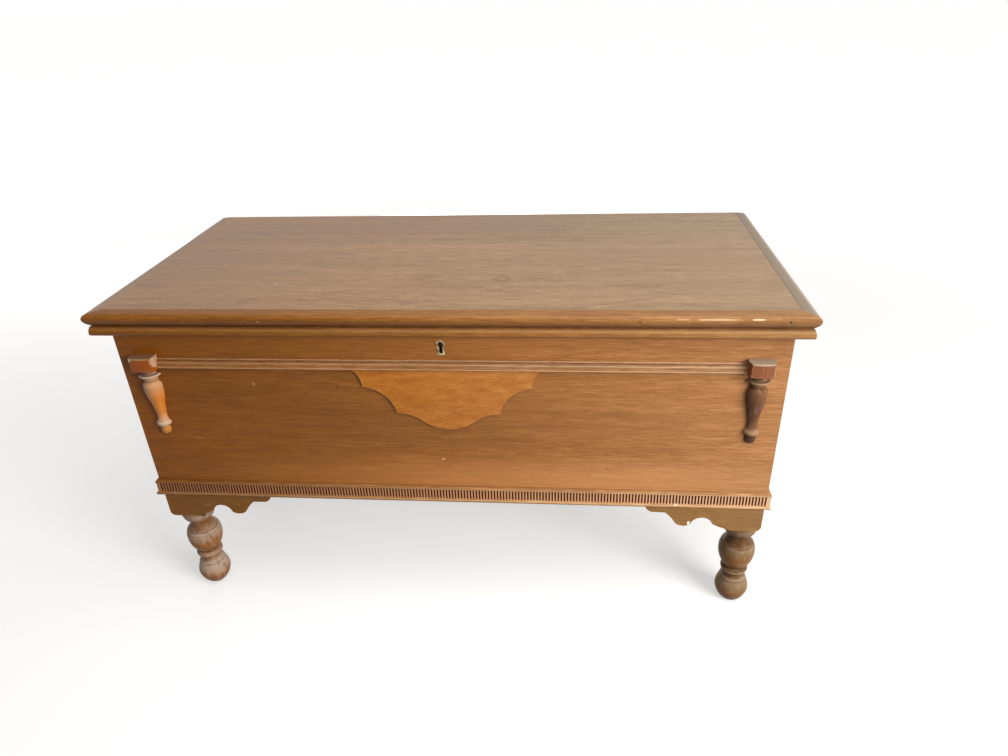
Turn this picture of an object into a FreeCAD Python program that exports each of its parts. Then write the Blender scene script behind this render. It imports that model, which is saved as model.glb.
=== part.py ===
import FreeCAD, Part
import math
import os

# Blanket chest: boarded case on four turned legs, fluted base moulding, scalloped front panel,
# half-turned drops, and a hinged lid with a lock and a slotted stay.
# Millimetres. X runs along the width, -Y is the front, +Z is up. The origin is on the floor, at the
# middle of the chest's outer box.

# ---------------------------------------------------------------- driving dimensions

# Case
case_width = 1118.0
case_depth = 519.0
case_height = 362.5
board_thickness = 19.0
bottom_thickness = 12.0
corner_rabbet_depth = 8.0
bottom_rabbet_depth = 9.0

# Lid and its mouldings
lid_thickness = 19.0
lid_gap = 0.4
front_lip_clearance = 4.0
side_lip_clearance = 1.5
lid_moulding_width = 24.5
lid_moulding_height = 40.5
nose_height = 22.0
nose_radius = 8.4
nose_crown_angle = 8.0
nose_undercut = 8.0
lid_quirk_height = 1.8
lid_quirk_depth = 9.5
lid_bead_setback = 3.5
lid_bead_radius = 4.5
lid_cove_depth = 3.2
lid_cove_bow = 0.9
nose_foot_bow = 1.4

# Legs and the blocks that carry them
leg_height = 198.0
leg_setback = 54.0
leg_side_inset = 23.0
block_width = 54.0
block_depth = 70.0
block_height = 71.0
block_side_inset = 2.5
dowel_radius = 12.5
dowel_length = 45.0
dowel_clearance = 0.1
foot_radius = 31.5
foot_flat_radius = 11.0
foot_centre_height = 33.0
foot_height = 57.0
foot_top_radius = 24.0
foot_low_radius_ratio = 0.7
foot_low_height_ratio = 0.32
foot_shoulder_ratio = 0.92
foot_shoulder_rise = 14.0
cap_radius = 25.4
cap_neck_radius = 20.5
cap_height = 15.0
cap_hollow = 3.4
cap_hollow_height_ratio = 0.45
ring_radius = 25.6
ring_height = 13.0
ring_top_step = 1.0
ball_radius = 34.0
ball_height = 129.0
ball_neck_radius = 21.0
ball_shoulder_radius = 30.0
ball_cove_bow = 3.6
ball_crown_inset = 1.1
ball_crown_rise = 8.5
shoulder_height = 145.0
shoulder_neck_radius = 19.0
shoulder_hollow = 2.6
neck_height = 166.0
collar_radius = 31.4
collar_foot_radius = 27.0
collar_foot_height = 173.0
collar_top_radius = 28.0
collar_round_lift = 3.0
groove_width = 1.6
groove_depth = 1.3

# Base moulding
base_height = 33.0
base_lip = 8.5
base_bead_height = 7.5
flute_face = 5.2
flute_band_height = 20.0
flute_pitch = 5.5
flute_width = 3.1
flute_depth = 2.2
cap_lip = 6.2
cap_lip_height = 2.0
cove_top = 1.4
cove_middle_ratio = 0.4

# Front brackets
bracket_thickness = 19.0
bracket_height = 55.0
bracket_end_inset = 1.5
bracket_corner_radius = 10.0
bracket_length = 209.5
bracket_flat = 41.0
bracket_slope_run = 36.0
bracket_slope_rise = 14.0
bracket_slope_bow = 1.2
arch_width = 39.0
arch_rise = 15.0
arch_end_fall = 1.5
lobe_width = 27.0
lobe_drop = 4.8
scroll_run = 20.0
scroll_rise = 24.0
scroll_bow = 1.5
toe_depth = 16.5
toe_run = 13.0
toe_bow = 3.3

# Front trim: rail moulding, overlay panel and drops
rail_fall = 73.0
rail_height = 17.0
rail_projection = 8.0
rail_arris = 6.0
rail_arris_drop = 6.5
rail_lip = 1.6
rail_fillet_height = 2.0
rail_fillet_depth = 1.2
rail_swell_height = 2.5
rail_foot_setback = 1.5
rail_foot_round = 0.6
rail_face_bow = 0.7
rail_cove_bow = 0.8
overlay_thickness = 4.0
overlay_offset = 4.0
overlay_half_width = 159.3
overlay_step_in = 16.0
overlay_step_drop = 33.0
overlay_step_sagitta = 4.4
overlay_scoop_run = 54.4
overlay_scoop_drop = 51.0
overlay_scoop_sagitta = 12.8
overlay_ogee_drop = 31.3
drop_inset = 46.0
drop_fall = 65.5
drop_block_height = 24.5
drop_block_width = 43.0
drop_block_back_width = 42.0
drop_block_face_width = 36.0
drop_block_depth = 20.5
drop_block_bow = 1.5
drop_waist_depth = 11.0
drop_neck_radius = 12.0
drop_neck_height = 11.0
drop_collar_radius = 19.2
drop_collar_height = 4.5
drop_collar_round = 1.6
drop_cove_step = 1.0
drop_cove_radius = 10.8
drop_cove_height = 3.0
drop_bead_radius = 12.8
drop_bead_height = 6.0
drop_vase_radius = 16.8
drop_vase_shoulder = 13.0
drop_vase_waist = 28.0
drop_vase_taper = 4.0
drop_vase_height = 67.5
drop_vase_top_bow = 2.2
drop_vase_bow = 1.1
drop_stem_radius = 8.7
drop_flare_height = 14.0
drop_flare_radius = 10.6
drop_flare_bow = 0.8
drop_ring_radius = 13.2
drop_ring_height = 10.0
drop_ring_step = 1.0
drop_tip_neck = 7.4
drop_tip_radius = 9.2
drop_tip_height = 18.0
drop_tip_round = 2.5
drop_tip_bow = 1.0
drop_tip_widest_ratio = 0.45

# Keyhole and its brass lining
keyhole_drop = 44.0
keyhole_radius = 4.8
keyhole_slot_width = 5.6
keyhole_slot_length = 16.0
escutcheon_rim = 2.9
escutcheon_flare = 1.3
escutcheon_side_ratio = 0.85
escutcheon_depth = 5.0
escutcheon_proud = 0.5
fit_clearance = 0.1

# Lock let into the back of the front board
lock_plate_width = 84.0
lock_plate_height = 69.0
lock_plate_thickness = 1.6
selvedge_width = 12.5
selvedge_thickness = 2.0
lock_cap_width = 66.0
lock_cap_depth = 10.0
lock_cap_wall = 1.2
lock_cap_foot = 19.0
lock_pin_radius = 1.5
lock_pin_length = 7.0
mortise_clearance = 0.2
bolt_travel = 7.0
bolt_bar_height = 10.0
bolt_bar_length = 48.5
bolt_bar_thickness = 5.6
bolt_rise = 8.5
bolt_finger_thickness = 3.0
bolt_finger_height = 5.0
bolt_finger_tip_gap = 1.0
bolt_upright_width = 4.0
bolt_reach = 22.0
talon_width = 9.0
talon_depth = 4.0
guide_stud_radius = 1.5
guide_clearance = 0.3
guide_stud_lift = 0.5
left_stud_offset = 2.0
right_stud_offset = 6.0
spring_thickness = 0.8
spring_width = 5.0
spring_hook_gap = 3.0
spring_bow_ratio = 0.5
hook_spacing = 32.0
hook_thickness = 3.0
hook_width = 7.2
hook_length = 21.5
hook_wall = 1.5
hook_clearance = 0.8
link_plate_length = 66.0
link_plate_width = 16.0
link_plate_thickness = 2.0

# Butt hinges
hinge_inset = 159.0
hinge_length = 64.0
hinge_leaf_width = 16.0
hinge_leaf_thickness = 2.0
knuckle_count = 5
knuckle_radius = 4.0
knuckle_gap = 0.3
hinge_pin_radius = 2.2
running_clearance = 0.05
hinge_back_gap = 0.3

# Lid stay: lid pivot and case stud are the same distance from the hinge axis, so the arm always
# turns through half of the lid's angle
stay_radius = 150.0
stay_pivot_drop = 14.0
stay_closed_angle = 12.0
lid_open_angle = 95.0
stay_arm_width = 16.0
stay_arm_thickness = 2.4
stay_arm_end_ratio = 0.75
stay_rivet_radius = 2.5
stay_rivet_head_radius = 5.0
stay_head_thickness = 1.5
stay_stud_radius = 3.0
stay_stud_head_radius = 6.5
stay_side_gap = 0.3
stay_slot_clearance = 0.3
stay_notch_depth = 3.0
stay_plate_thickness = 2.5
stay_plate_width = 26.0
stay_plate_height = 44.0
stay_collar_radius = 5.0
stay_wall_gap = 2.1
stay_bracket_length = 52.0
stay_bracket_width = 30.0

# Countersunk screw holes in the metal plates
screw_hole_radius = 1.7
hinge_sink_radius = 3.6
plate_sink_radius = 2.9
screw_edge = 5.0

# ---------------------------------------------------------------- derived places

hinge_reach = hinge_back_gap + 2 * knuckle_radius
lid_depth = case_depth + front_lip_clearance + lid_moulding_width
case_back = (lid_depth + hinge_reach) / 2 - hinge_reach
case_front = case_back - case_depth
case_side = case_width / 2
case_bottom = leg_height + block_height
case_top = case_bottom + case_height
inner_front = case_front + board_thickness
inner_back = case_back - board_thickness
inner_side = case_side - board_thickness
floor_top = case_bottom + bottom_thickness
lid_bottom = case_top + lid_gap
lid_top = lid_bottom + lid_thickness
lid_side = case_side + side_lip_clearance
lid_front = case_front - front_lip_clearance
hinge_y = case_back + hinge_back_gap + knuckle_radius
hinge_z = case_top + lid_gap / 2
keyhole_z = case_top - keyhole_drop
leg_x = case_side - leg_side_inset
leg_front_y = case_front + leg_setback
leg_back_y = case_back - leg_setback
rail_bottom = case_top - rail_fall - rail_height
drop_x = case_side - drop_inset
drop_top = case_top - drop_fall

UP = FreeCAD.Vector(0, 0, 1)
DOWN = FreeCAD.Vector(0, 0, -1)
RIGHT = FreeCAD.Vector(1, 0, 0)
FRONT = FreeCAD.Vector(0, -1, 0)
BACK = FreeCAD.Vector(0, 1, 0)


# ---------------------------------------------------------------- general helpers

def vec(x, y, z):
    return FreeCAD.Vector(x, y, z)


def block(x0, x1, y0, y1, z0, z1):
    """Box between two corners."""
    return Part.makeBox(x1 - x0, y1 - y0, z1 - z0, vec(x0, y0, z0))


def rod(radius, start, end):
    """Round bar between two points."""
    along = end - start
    return Part.makeCylinder(radius, along.Length, start, along)


def face_inside(place, start, steps):
    """Flat face inside lines and arcs. A step is [end] for a line or [through, end] for an arc, in
    the two plane coordinates that place turns into a point."""
    edges = []
    here = start
    for step in steps + [[start]]:
        end = step[-1]
        if math.dist(here, end) < 1e-6:
            continue
        if len(step) == 1:
            edges.append(Part.LineSegment(place(*here), place(*end)).toShape())
        else:
            edges.append(Part.Arc(place(*here), place(*step[0]), place(*end)).toShape())
        here = end
    return Part.Face(Part.Wire(edges))


def arc_through(start, end, sagitta):
    """Middle point of an arc that stands off its chord by sagitta, to the left of the way to end."""
    run = end[0] - start[0]
    rise = end[1] - start[1]
    chord = math.hypot(run, rise)
    middle = ((start[0] + end[0]) / 2, (start[1] + end[1]) / 2)
    return (middle[0] - rise / chord * sagitta, middle[1] + run / chord * sagitta)


def mirrored(shape):
    """The same piece on the other side of the chest's middle plane."""
    return shape.mirror(vec(0, 0, 0), RIGHT)


def turned(axis_x, axis_y, start, steps):
    """Solid of revolution about a vertical axis, from radius and height coordinates."""
    half = face_inside(lambda radius, z: vec(axis_x + radius, axis_y, z), start, steps)
    return half.revolve(vec(axis_x, axis_y, 0), UP, 360)


def countersunk(plate, places, sink_radius, depth):
    """Cuts tapered screw holes through a plate; a place is a point on its face and the screw's way in."""
    sinks = [Part.makeCone(sink_radius, screw_hole_radius, depth, point, way) for point, way in places]
    return plate.cut(sinks)


# ---------------------------------------------------------------- case

def side_blank():
    """Right side before the floor's rabbet, let in behind the ends of the front and back boards."""
    near = inner_front - corner_rabbet_depth
    far = inner_back + corner_rabbet_depth
    return block(inner_side, case_side, near, far, case_bottom, case_top)


def bottom_board():
    """Floor of the chest, in a rabbet round the foot of the case."""
    half = inner_side + bottom_rabbet_depth
    return block(-half, half, inner_front - bottom_rabbet_depth, inner_back + bottom_rabbet_depth,
                 case_bottom, floor_top)


def side_board():
    """Right side with the floor's rabbet."""
    return side_blank().cut(bottom_board())


def long_board(near, far):
    """Front or back board with the rabbets for the two sides and the floor."""
    board = block(-case_side, case_side, near, far, case_bottom, case_top)
    return board.cut([side_blank(), mirrored(side_blank()), bottom_board()])


def corner_block():
    """Front right block under the case, bored for the leg's dowel."""
    outer = case_side - block_side_inset
    near = case_front + bracket_thickness
    body = block(outer - block_width, outer, near, near + block_depth, leg_height, case_bottom)
    bore = rod(dowel_radius + dowel_clearance, vec(leg_x, leg_front_y, leg_height),
               vec(leg_x, leg_front_y, leg_height + dowel_length + dowel_clearance))
    return body.cut(bore)


def leg():
    """Front right leg, turned in one piece: round foot, cap, ring, ball, necked shoulder and collar."""
    cap_foot = foot_height + groove_width
    cap_top = cap_foot + cap_height
    ring_top = cap_top + groove_width + ring_height
    ball_foot = ring_top + groove_width
    cove_foot = shoulder_height + groove_width
    neck_top = collar_foot_height - groove_width
    collar_middle = (collar_foot_height + leg_height) / 2
    steps = [
        [(foot_flat_radius, 0)],
        [(foot_radius * foot_low_radius_ratio, foot_centre_height * foot_low_height_ratio),
         (foot_radius, foot_centre_height)],
        [(foot_radius * foot_shoulder_ratio, foot_centre_height + foot_shoulder_rise),
         (foot_top_radius, foot_height)],
        [(foot_top_radius - groove_depth, foot_height + groove_width / 2)],
        [(cap_radius, cap_foot)],
        [(cap_radius - cap_hollow, cap_foot + cap_height * cap_hollow_height_ratio),
         (cap_neck_radius, cap_top)],
        [(cap_neck_radius, cap_top + groove_width)],
        [(ring_radius, cap_top + groove_width + ring_height / 2),
         (cap_neck_radius + ring_top_step, ring_top)],
        [(ball_neck_radius, ball_foot)],
        [arc_through((ball_neck_radius, ball_foot), (ball_radius, ball_height), -ball_cove_bow),
         (ball_radius, ball_height)],
        [(ball_radius - ball_crown_inset, ball_height + ball_crown_rise),
         (ball_shoulder_radius, shoulder_height)],
        [(ball_shoulder_radius - 2 * groove_depth, shoulder_height + groove_width / 2)],
        [(ball_shoulder_radius - groove_depth, cove_foot)],
        [(shoulder_neck_radius + shoulder_hollow, (cove_foot + neck_height) / 2),
         (shoulder_neck_radius, neck_height)],
        [(shoulder_neck_radius, neck_top)],
        [(collar_foot_radius, collar_foot_height)],
        [(collar_radius, collar_middle + collar_round_lift), (collar_top_radius, leg_height)],
        [(dowel_radius, leg_height)],
        [(dowel_radius, leg_height + dowel_length)],
        [(0, leg_height + dowel_length)],
    ]
    return turned(leg_x, leg_front_y, (0, 0), steps)


def base_profile():
    """Outline of the base moulding from its back, as distance out and height above the case foot."""
    band_top = base_bead_height + flute_band_height
    lip_top = band_top + cap_lip_height
    bead_back = base_lip - base_bead_height / 2
    cove_middle = (cove_top + (cap_lip - cove_top) * cove_middle_ratio,
                   lip_top + (base_height - lip_top) * cove_middle_ratio)
    return [
        [(bead_back, 0)],
        [(base_lip, base_bead_height / 2), (bead_back, base_bead_height)],
        [(flute_face, base_bead_height)],
        [(flute_face, band_top)],
        [(cap_lip, band_top)],
        [(cap_lip, lip_top)],
        [cove_middle, (cove_top, base_height)],
        [(0, base_height)],
    ]


def flute_cuts(length, place):
    """Row of upright V-shaped grooves, centred on a run of the moulding."""
    count = int(length / flute_pitch)
    low = case_bottom + base_bead_height
    mouth = flute_width / 2
    cuts = []
    for number in range(count):
        middle = (number - (count - 1) / 2) * flute_pitch
        groove = face_inside(lambda along, out: place(along, out, low), (middle - mouth, flute_face),
                             [[(middle + mouth, flute_face)], [(middle, flute_face - flute_depth)]])
        cuts.append(groove.extrude(UP * flute_band_height))
    return cuts


def mitred_front(profile_face, inner_half, inner_y, out, low, high):
    """Front moulding run: its end profile drawn along X and cut to a mitre at both ends."""
    run = profile_face.extrude(RIGHT * 2 * (inner_half + out))
    plan = face_inside(lambda x, y: vec(x, y, low), (-inner_half, inner_y),
                       [[(inner_half, inner_y)], [(inner_half + out, inner_y - out)],
                        [(-inner_half - out, inner_y - out)]])
    return run.common(plan.extrude(UP * (high - low)))


def mitred_side(profile_face, inner_x, inner_y, back_y, out, low, high):
    """Right side moulding run: drawn along Y, mitred in front and cut square at the back."""
    run = profile_face.extrude(BACK * (back_y - inner_y + out))
    plan = face_inside(lambda x, y: vec(x, y, low), (inner_x, inner_y),
                       [[(inner_x + out, inner_y - out)], [(inner_x + out, back_y)], [(inner_x, back_y)]])
    return run.common(plan.extrude(UP * (high - low)))


def front_base_moulding():
    """Fluted moulding along the foot of the case front."""
    start_x = -case_side - base_lip
    end = face_inside(lambda out, z: vec(start_x, case_front - out, case_bottom + z), (0, 0),
                      base_profile())
    run = mitred_front(end, case_side, case_front, base_lip, case_bottom, case_bottom + base_height)
    return run.cut(flute_cuts(case_width, lambda along, out, z: vec(along, case_front - out, z)))


def side_base_moulding():
    """Fluted moulding along the foot of the right side."""
    start_y = case_front - base_lip
    middle_y = (case_front + case_back) / 2
    end = face_inside(lambda out, z: vec(case_side + out, start_y, case_bottom + z), (0, 0), base_profile())
    run = mitred_side(end, case_side, case_front, case_back, base_lip, case_bottom,
                      case_bottom + base_height)
    return run.cut(flute_cuts(case_depth, lambda along, out, z: vec(case_side + out, middle_y + along, z)))


def front_bracket():
    """Right bracket under the case front: rounded outer corner, arch, lobe, scroll and toe."""
    outer = case_side - bracket_end_inset
    foot = case_bottom - bracket_height
    flat_end = outer - bracket_corner_radius - bracket_flat
    slope_end = (flat_end - bracket_slope_run, foot + bracket_slope_rise)
    arch_end = (slope_end[0] - arch_width, slope_end[1] - arch_end_fall)
    lobe_end = (arch_end[0] - lobe_width, slope_end[1])
    scroll_end = (lobe_end[0] - scroll_run, lobe_end[1] + scroll_rise)
    toe_end = (outer - bracket_length, case_bottom)
    toe_flat = (toe_end[0] + toe_run, case_bottom - toe_depth)
    corner = (outer, foot + bracket_corner_radius)
    corner_foot = (outer - bracket_corner_radius, foot)
    slant = bracket_corner_radius * (1 - math.sqrt(0.5))
    steps = [
        [corner],
        [(outer - slant, foot + slant), corner_foot],
        [(flat_end, foot)],
        [arc_through((flat_end, foot), slope_end, bracket_slope_bow), slope_end],
        [arc_through(slope_end, arch_end, -arch_rise), arch_end],
        [arc_through(arch_end, lobe_end, lobe_drop), lobe_end],
        [arc_through(lobe_end, scroll_end, -scroll_bow), scroll_end],
        [toe_flat],
        [arc_through(toe_flat, toe_end, toe_bow), toe_end],
    ]
    face = face_inside(lambda x, z: vec(x, case_front, z), (outer, case_bottom), steps)
    return face.extrude(BACK * bracket_thickness)


# ---------------------------------------------------------------- front trim

def rail_moulding():
    """Moulding across the front, cut to butt against the two drops: sloped cove above, square face
    below."""
    half = drop_x - drop_block_back_width / 2
    foot = (rail_projection - rail_foot_setback, 0)
    swell = (rail_projection, rail_swell_height)
    arris = (rail_arris, rail_height - rail_arris_drop)
    cove_head = (rail_lip + rail_fillet_depth, rail_height - rail_fillet_height)
    steps = [
        [foot],
        [arc_through(foot, swell, -rail_foot_round), swell],
        [arc_through(swell, arris, rail_face_bow), arris],
        [arc_through(arris, cove_head, -rail_cove_bow), cove_head],
        [(rail_lip, cove_head[1])],
        [(rail_lip, rail_height)],
        [(0, rail_height)],
    ]
    end = face_inside(lambda out, z: vec(-half, case_front - out, rail_bottom + z), (0, 0), steps)
    return end.extrude(RIGHT * 2 * half).cut(at_drops(drop_block()))


def overlay_panel():
    """Thin panel under the rail with a scalloped lower edge: a step, a scoop and an ogee each side."""
    top = rail_bottom
    step_foot = (overlay_half_width - overlay_step_in, top - overlay_step_drop)
    scoop_foot = (step_foot[0] - overlay_scoop_run, step_foot[1] - overlay_scoop_drop)
    ogee_radius = (scoop_foot[0] ** 2 + overlay_ogee_drop ** 2) / (4 * overlay_ogee_drop)
    inflection = (scoop_foot[0] / 2, scoop_foot[1] - overlay_ogee_drop / 2)
    low = scoop_foot[1] - overlay_ogee_drop
    half_turn = math.asin(inflection[0] / ogee_radius) / 2
    upper = (scoop_foot[0] - ogee_radius * math.sin(half_turn),
             scoop_foot[1] - ogee_radius * (1 - math.cos(half_turn)))

    def flip(point):
        return (-point[0], point[1])

    step_middle = arc_through((overlay_half_width, top), step_foot, -overlay_step_sagitta)
    scoop_middle = arc_through(step_foot, scoop_foot, -overlay_scoop_sagitta)
    steps = [
        [step_middle, step_foot],
        [scoop_middle, scoop_foot],
        [upper, inflection],
        [(0, low), flip(inflection)],
        [flip(upper), flip(scoop_foot)],
        [flip(scoop_middle), flip(step_foot)],
        [flip(step_middle), (-overlay_half_width, top)],
    ]
    start = (overlay_half_width, top)
    face = face_inside(lambda x, z: vec(x + overlay_offset, case_front, z), start, steps)
    return face.extrude(FRONT * overlay_thickness)


def half_turned(start, steps):
    """Front half of a turning on the Z axis, split down that axis."""
    half = face_inside(lambda radius, z: vec(radius, 0, z), start, steps)
    return half.revolve(vec(0, 0, 0), UP, -180)


def at_drops(shape):
    """A piece of the drops, moved from the Z axis to the right drop's axis and to the left one's."""
    return [shape.translated(vec(side * drop_x, case_front, 0)) for side in (1, -1)]


def drop_turning():
    """Half-turning of the drop: neck, collar, bead, vase, ring and acorn tip."""
    neck_top = drop_top - drop_block_height
    collar_top = neck_top - drop_neck_height
    collar_foot = collar_top - drop_collar_height
    bead_top = collar_foot - drop_cove_height
    bead_foot = bead_top - drop_bead_height
    vase_widest = bead_foot - drop_vase_shoulder
    vase_foot = bead_foot - drop_vase_height
    ring_top = vase_foot - drop_flare_height
    ring_foot = ring_top - drop_ring_height
    tip_widest = ring_foot - drop_tip_height * drop_tip_widest_ratio
    tip_foot = ring_foot - drop_tip_height
    collar_edge = drop_collar_radius - drop_collar_round
    vase_top = (drop_vase_radius, vase_widest)
    vase_waist = (drop_vase_radius - drop_vase_taper, vase_widest - drop_vase_waist)
    stem = (drop_stem_radius, vase_foot)
    flare = (drop_flare_radius, ring_top)
    tip_round = (drop_tip_neck, tip_foot + drop_tip_round)
    steps = [
        [(drop_neck_radius, neck_top)],
        [(drop_neck_radius, collar_top)],
        [(collar_edge, collar_top)],
        [(drop_collar_radius, (collar_top + collar_foot) / 2), (collar_edge, collar_foot)],
        [(drop_cove_radius, collar_foot - drop_cove_step)],
        [(drop_cove_radius, bead_top)],
        [(drop_bead_radius, (bead_top + bead_foot) / 2), (drop_cove_radius, bead_foot)],
        [arc_through((drop_cove_radius, bead_foot), vase_top, drop_vase_top_bow), vase_top],
        [arc_through(vase_top, vase_waist, drop_vase_bow), vase_waist],
        [stem],
        [arc_through(stem, flare, -drop_flare_bow), flare],
        [(drop_ring_radius, (ring_top + ring_foot) / 2), (drop_flare_radius, ring_foot)],
        [(drop_tip_neck, ring_foot - drop_ring_step)],
        [(drop_tip_radius, tip_widest), tip_round],
        [arc_through(tip_round, (0, tip_foot), drop_tip_bow), (0, tip_foot)],
    ]
    return half_turned((0, neck_top), steps)


def drop_block():
    """Block at the head of a drop, on the Z axis: splayed sides, cut corners and a bowed face."""
    low = drop_top - drop_block_height
    back = drop_block_back_width / 2
    waist = drop_block_width / 2
    face = drop_block_face_width / 2
    steps = [
        [(-waist, drop_waist_depth)],
        [(-face, drop_block_depth)],
        [(0, drop_block_depth + drop_block_bow), (face, drop_block_depth)],
        [(waist, drop_waist_depth)],
        [(back, 0)],
    ]
    plan = face_inside(lambda along, out: vec(along, -out, low), (-back, 0), steps)
    return plan.extrude(UP * drop_block_height)


def front_drops():
    """Right and left drop: the block with the turning, split down its axis, under it."""
    return at_drops(drop_block().fuse(drop_turning()))


# ---------------------------------------------------------------- keyhole and lock

def keyhole_outline(rim, flare, place):
    """Keyhole face: round above, straight slot below, grown all round by rim and wider at its foot."""
    radius = keyhole_radius + rim
    half_slot = keyhole_slot_width / 2 + rim * escutcheon_side_ratio
    foot = -keyhole_slot_length - rim
    shoulder = -math.sqrt(radius ** 2 - half_slot ** 2)
    steps = [
        [(half_slot + flare, foot)],
        [(half_slot, shoulder)],
        [(0, radius), (-half_slot, shoulder)],
    ]
    return face_inside(place, (-half_slot - flare, foot), steps)


def keyhole_prism(rim, flare, near, far):
    """Keyhole outline as a solid between two depths."""
    face = keyhole_outline(rim, flare, lambda x, z: vec(x, near, keyhole_z + z))
    return face.extrude(BACK * (far - near))


def escutcheon():
    """Brass lining pressed into the front board round the keyhole."""
    near = case_front - escutcheon_proud
    far = case_front + escutcheon_depth
    return keyhole_prism(escutcheon_rim, escutcheon_flare, near, far).cut(keyhole_prism(0, 0, near, far))


plate_near = inner_front - lock_plate_thickness
cap_near = plate_near - lock_cap_depth
selvedge_foot = case_top - selvedge_thickness
cap_foot_z = keyhole_z - lock_cap_foot
bolt_near = plate_near - guide_clearance - bolt_bar_thickness
bolt_far = plate_near - guide_clearance
bolt_foot = keyhole_z + bolt_rise
bolt_top = bolt_foot + bolt_bar_height
finger_top = bolt_foot + bolt_reach
hook_near = bolt_near - (hook_width - bolt_finger_thickness) / 2
hook_x = hook_spacing / 2
left_upright_x = -hook_x - hook_thickness / 2 - bolt_finger_tip_gap - bolt_travel - bolt_upright_width
guide_stud_x = (-hook_x - left_stud_offset, hook_x - right_stud_offset)
guide_stud_z = (bolt_foot + bolt_top) / 2 + guide_stud_lift


def lock_screw_places():
    """Two screw holes down each side of the lock plate."""
    x = lock_plate_width / 2 - screw_edge
    heights = (selvedge_foot - 2 * screw_edge, case_top - lock_plate_height + screw_edge)
    return [(vec(side * x, inner_front, z), FRONT) for side in (-1, 1) for z in heights]


def selvedge_screw_places():
    """One screw hole at each end of the selvedge."""
    x = lock_plate_width / 2 - screw_edge
    y = inner_front - selvedge_width / 2
    return [(vec(side * x, y, case_top), DOWN) for side in (-1, 1)]


def hook_space(spare):
    """Space that the two hooks of the link plate take up, grown sideways by spare."""
    far = hook_near + hook_width
    half = hook_thickness / 2 + spare
    return [block(side * hook_x - half, side * hook_x + half, hook_near - spare, far + spare,
                  case_top - hook_length, lid_bottom) for side in (-1, 1)]


def lock_plate():
    """Lock plate with the selvedge turned over its top and the two studs that guide the bolt."""
    half = lock_plate_width / 2
    plate = block(-half, half, plate_near, inner_front, case_top - lock_plate_height, case_top)
    selvedge = block(-half, half, inner_front - selvedge_width, inner_front, selvedge_foot, case_top)
    body = plate.fuse(selvedge)
    body = body.cut(hook_space(hook_clearance))
    studs = [rod(guide_stud_radius, vec(x, plate_near, guide_stud_z), vec(x, bolt_near, guide_stud_z))
             for x in guide_stud_x]
    body = body.fuse(studs).removeSplitter()
    body = countersunk(body, lock_screw_places(), plate_sink_radius, lock_plate_thickness)
    return countersunk(body, selvedge_screw_places(), plate_sink_radius, selvedge_thickness)


def lock_cap():
    """Box over the works, open to the plate and the selvedge, with the key's hole in its face."""
    half = lock_cap_width / 2
    wall = lock_cap_wall
    shell = block(-half, half, cap_near, plate_near, cap_foot_z, selvedge_foot)
    hollow = block(-half + wall, half - wall, cap_near + wall, plate_near, cap_foot_z + wall, selvedge_foot)
    return shell.cut(hollow).cut(keyhole_prism(0, 0, cap_near, plate_near))


def lock_pin():
    """Drill pin that the barrel of the key turns on."""
    root = vec(0, plate_near, keyhole_z)
    return rod(lock_pin_radius, root, root + FRONT * lock_pin_length)


def lock_bolt():
    """Sliding bolt: bar with the key's talon, two guide slots and two fingers that enter the hooks."""
    start = left_upright_x
    bar = block(start, start + bolt_bar_length, bolt_near, bolt_far, bolt_foot, bolt_top)
    finger_far = bolt_near + bolt_finger_thickness
    body = bar
    for hook_side in (-1, 1):
        tip = hook_side * hook_x - hook_thickness / 2 - bolt_finger_tip_gap
        root = tip - bolt_travel - bolt_upright_width
        upright = block(root, root + bolt_upright_width, bolt_near, finger_far, bolt_top, finger_top)
        finger = block(root, tip, bolt_near, finger_far, finger_top - bolt_finger_height, finger_top)
        body = body.fuse([upright, finger])
    talon_middle = -bolt_travel / 2
    talon = block(talon_middle - talon_width / 2, talon_middle + talon_width / 2, bolt_near, bolt_far,
                  bolt_foot, bolt_foot + talon_depth)
    opening = guide_stud_radius + guide_clearance
    slots = [block(x - bolt_travel - opening, x + opening, bolt_near, bolt_far,
                   guide_stud_z - opening, guide_stud_z + opening) for x in guide_stud_x]
    return body.cut([talon] + slots).removeSplitter()


def lock_spring():
    """Bent leaf spring between the selvedge and the bolt."""
    top = selvedge_foot
    foot = bolt_top + guide_clearance
    start = -hook_x + hook_thickness + spring_hook_gap
    bulge = start + (top - foot) * spring_bow_ratio
    middle = (top + foot) / 2
    inside = spring_thickness
    steps = [
        [(bulge, middle), (start, foot)],
        [(start, foot + inside)],
        [(bulge - inside, middle), (start, top - inside)],
    ]
    near = bolt_near + (bolt_finger_thickness - spring_width) / 2
    face = face_inside(lambda x, z: vec(x, near, z), (start, top), steps)
    return face.extrude(BACK * spring_width)


def link_screw_places():
    """One screw hole at each end of the link plate."""
    x = link_plate_length / 2 - screw_edge
    y = hook_near + hook_width / 2
    return [(vec(side * x, y, lid_bottom), UP) for side in (-1, 1)]


def link_plate_body(spare):
    """Flat of the link plate, let flush into the lid."""
    half = link_plate_length / 2 + spare
    middle = hook_near + hook_width / 2
    side = link_plate_width / 2 + spare
    return block(-half, half, middle - side, middle + side, lid_bottom,
                 lid_bottom + link_plate_thickness + spare)


def link_plate():
    """Link plate on the lid with two pierced hooks that drop through the selvedge."""
    eye_low = finger_top - bolt_finger_height - hook_clearance
    eye_high = finger_top + hook_clearance
    far = hook_near + hook_width
    eyes = [block(side * hook_x - hook_thickness, side * hook_x + hook_thickness, hook_near + hook_wall,
                  far - hook_wall, eye_low, eye_high) for side in (-1, 1)]
    body = link_plate_body(0).fuse(hook_space(0)).cut(eyes)
    return countersunk(body, link_screw_places(), plate_sink_radius, link_plate_thickness)


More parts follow.
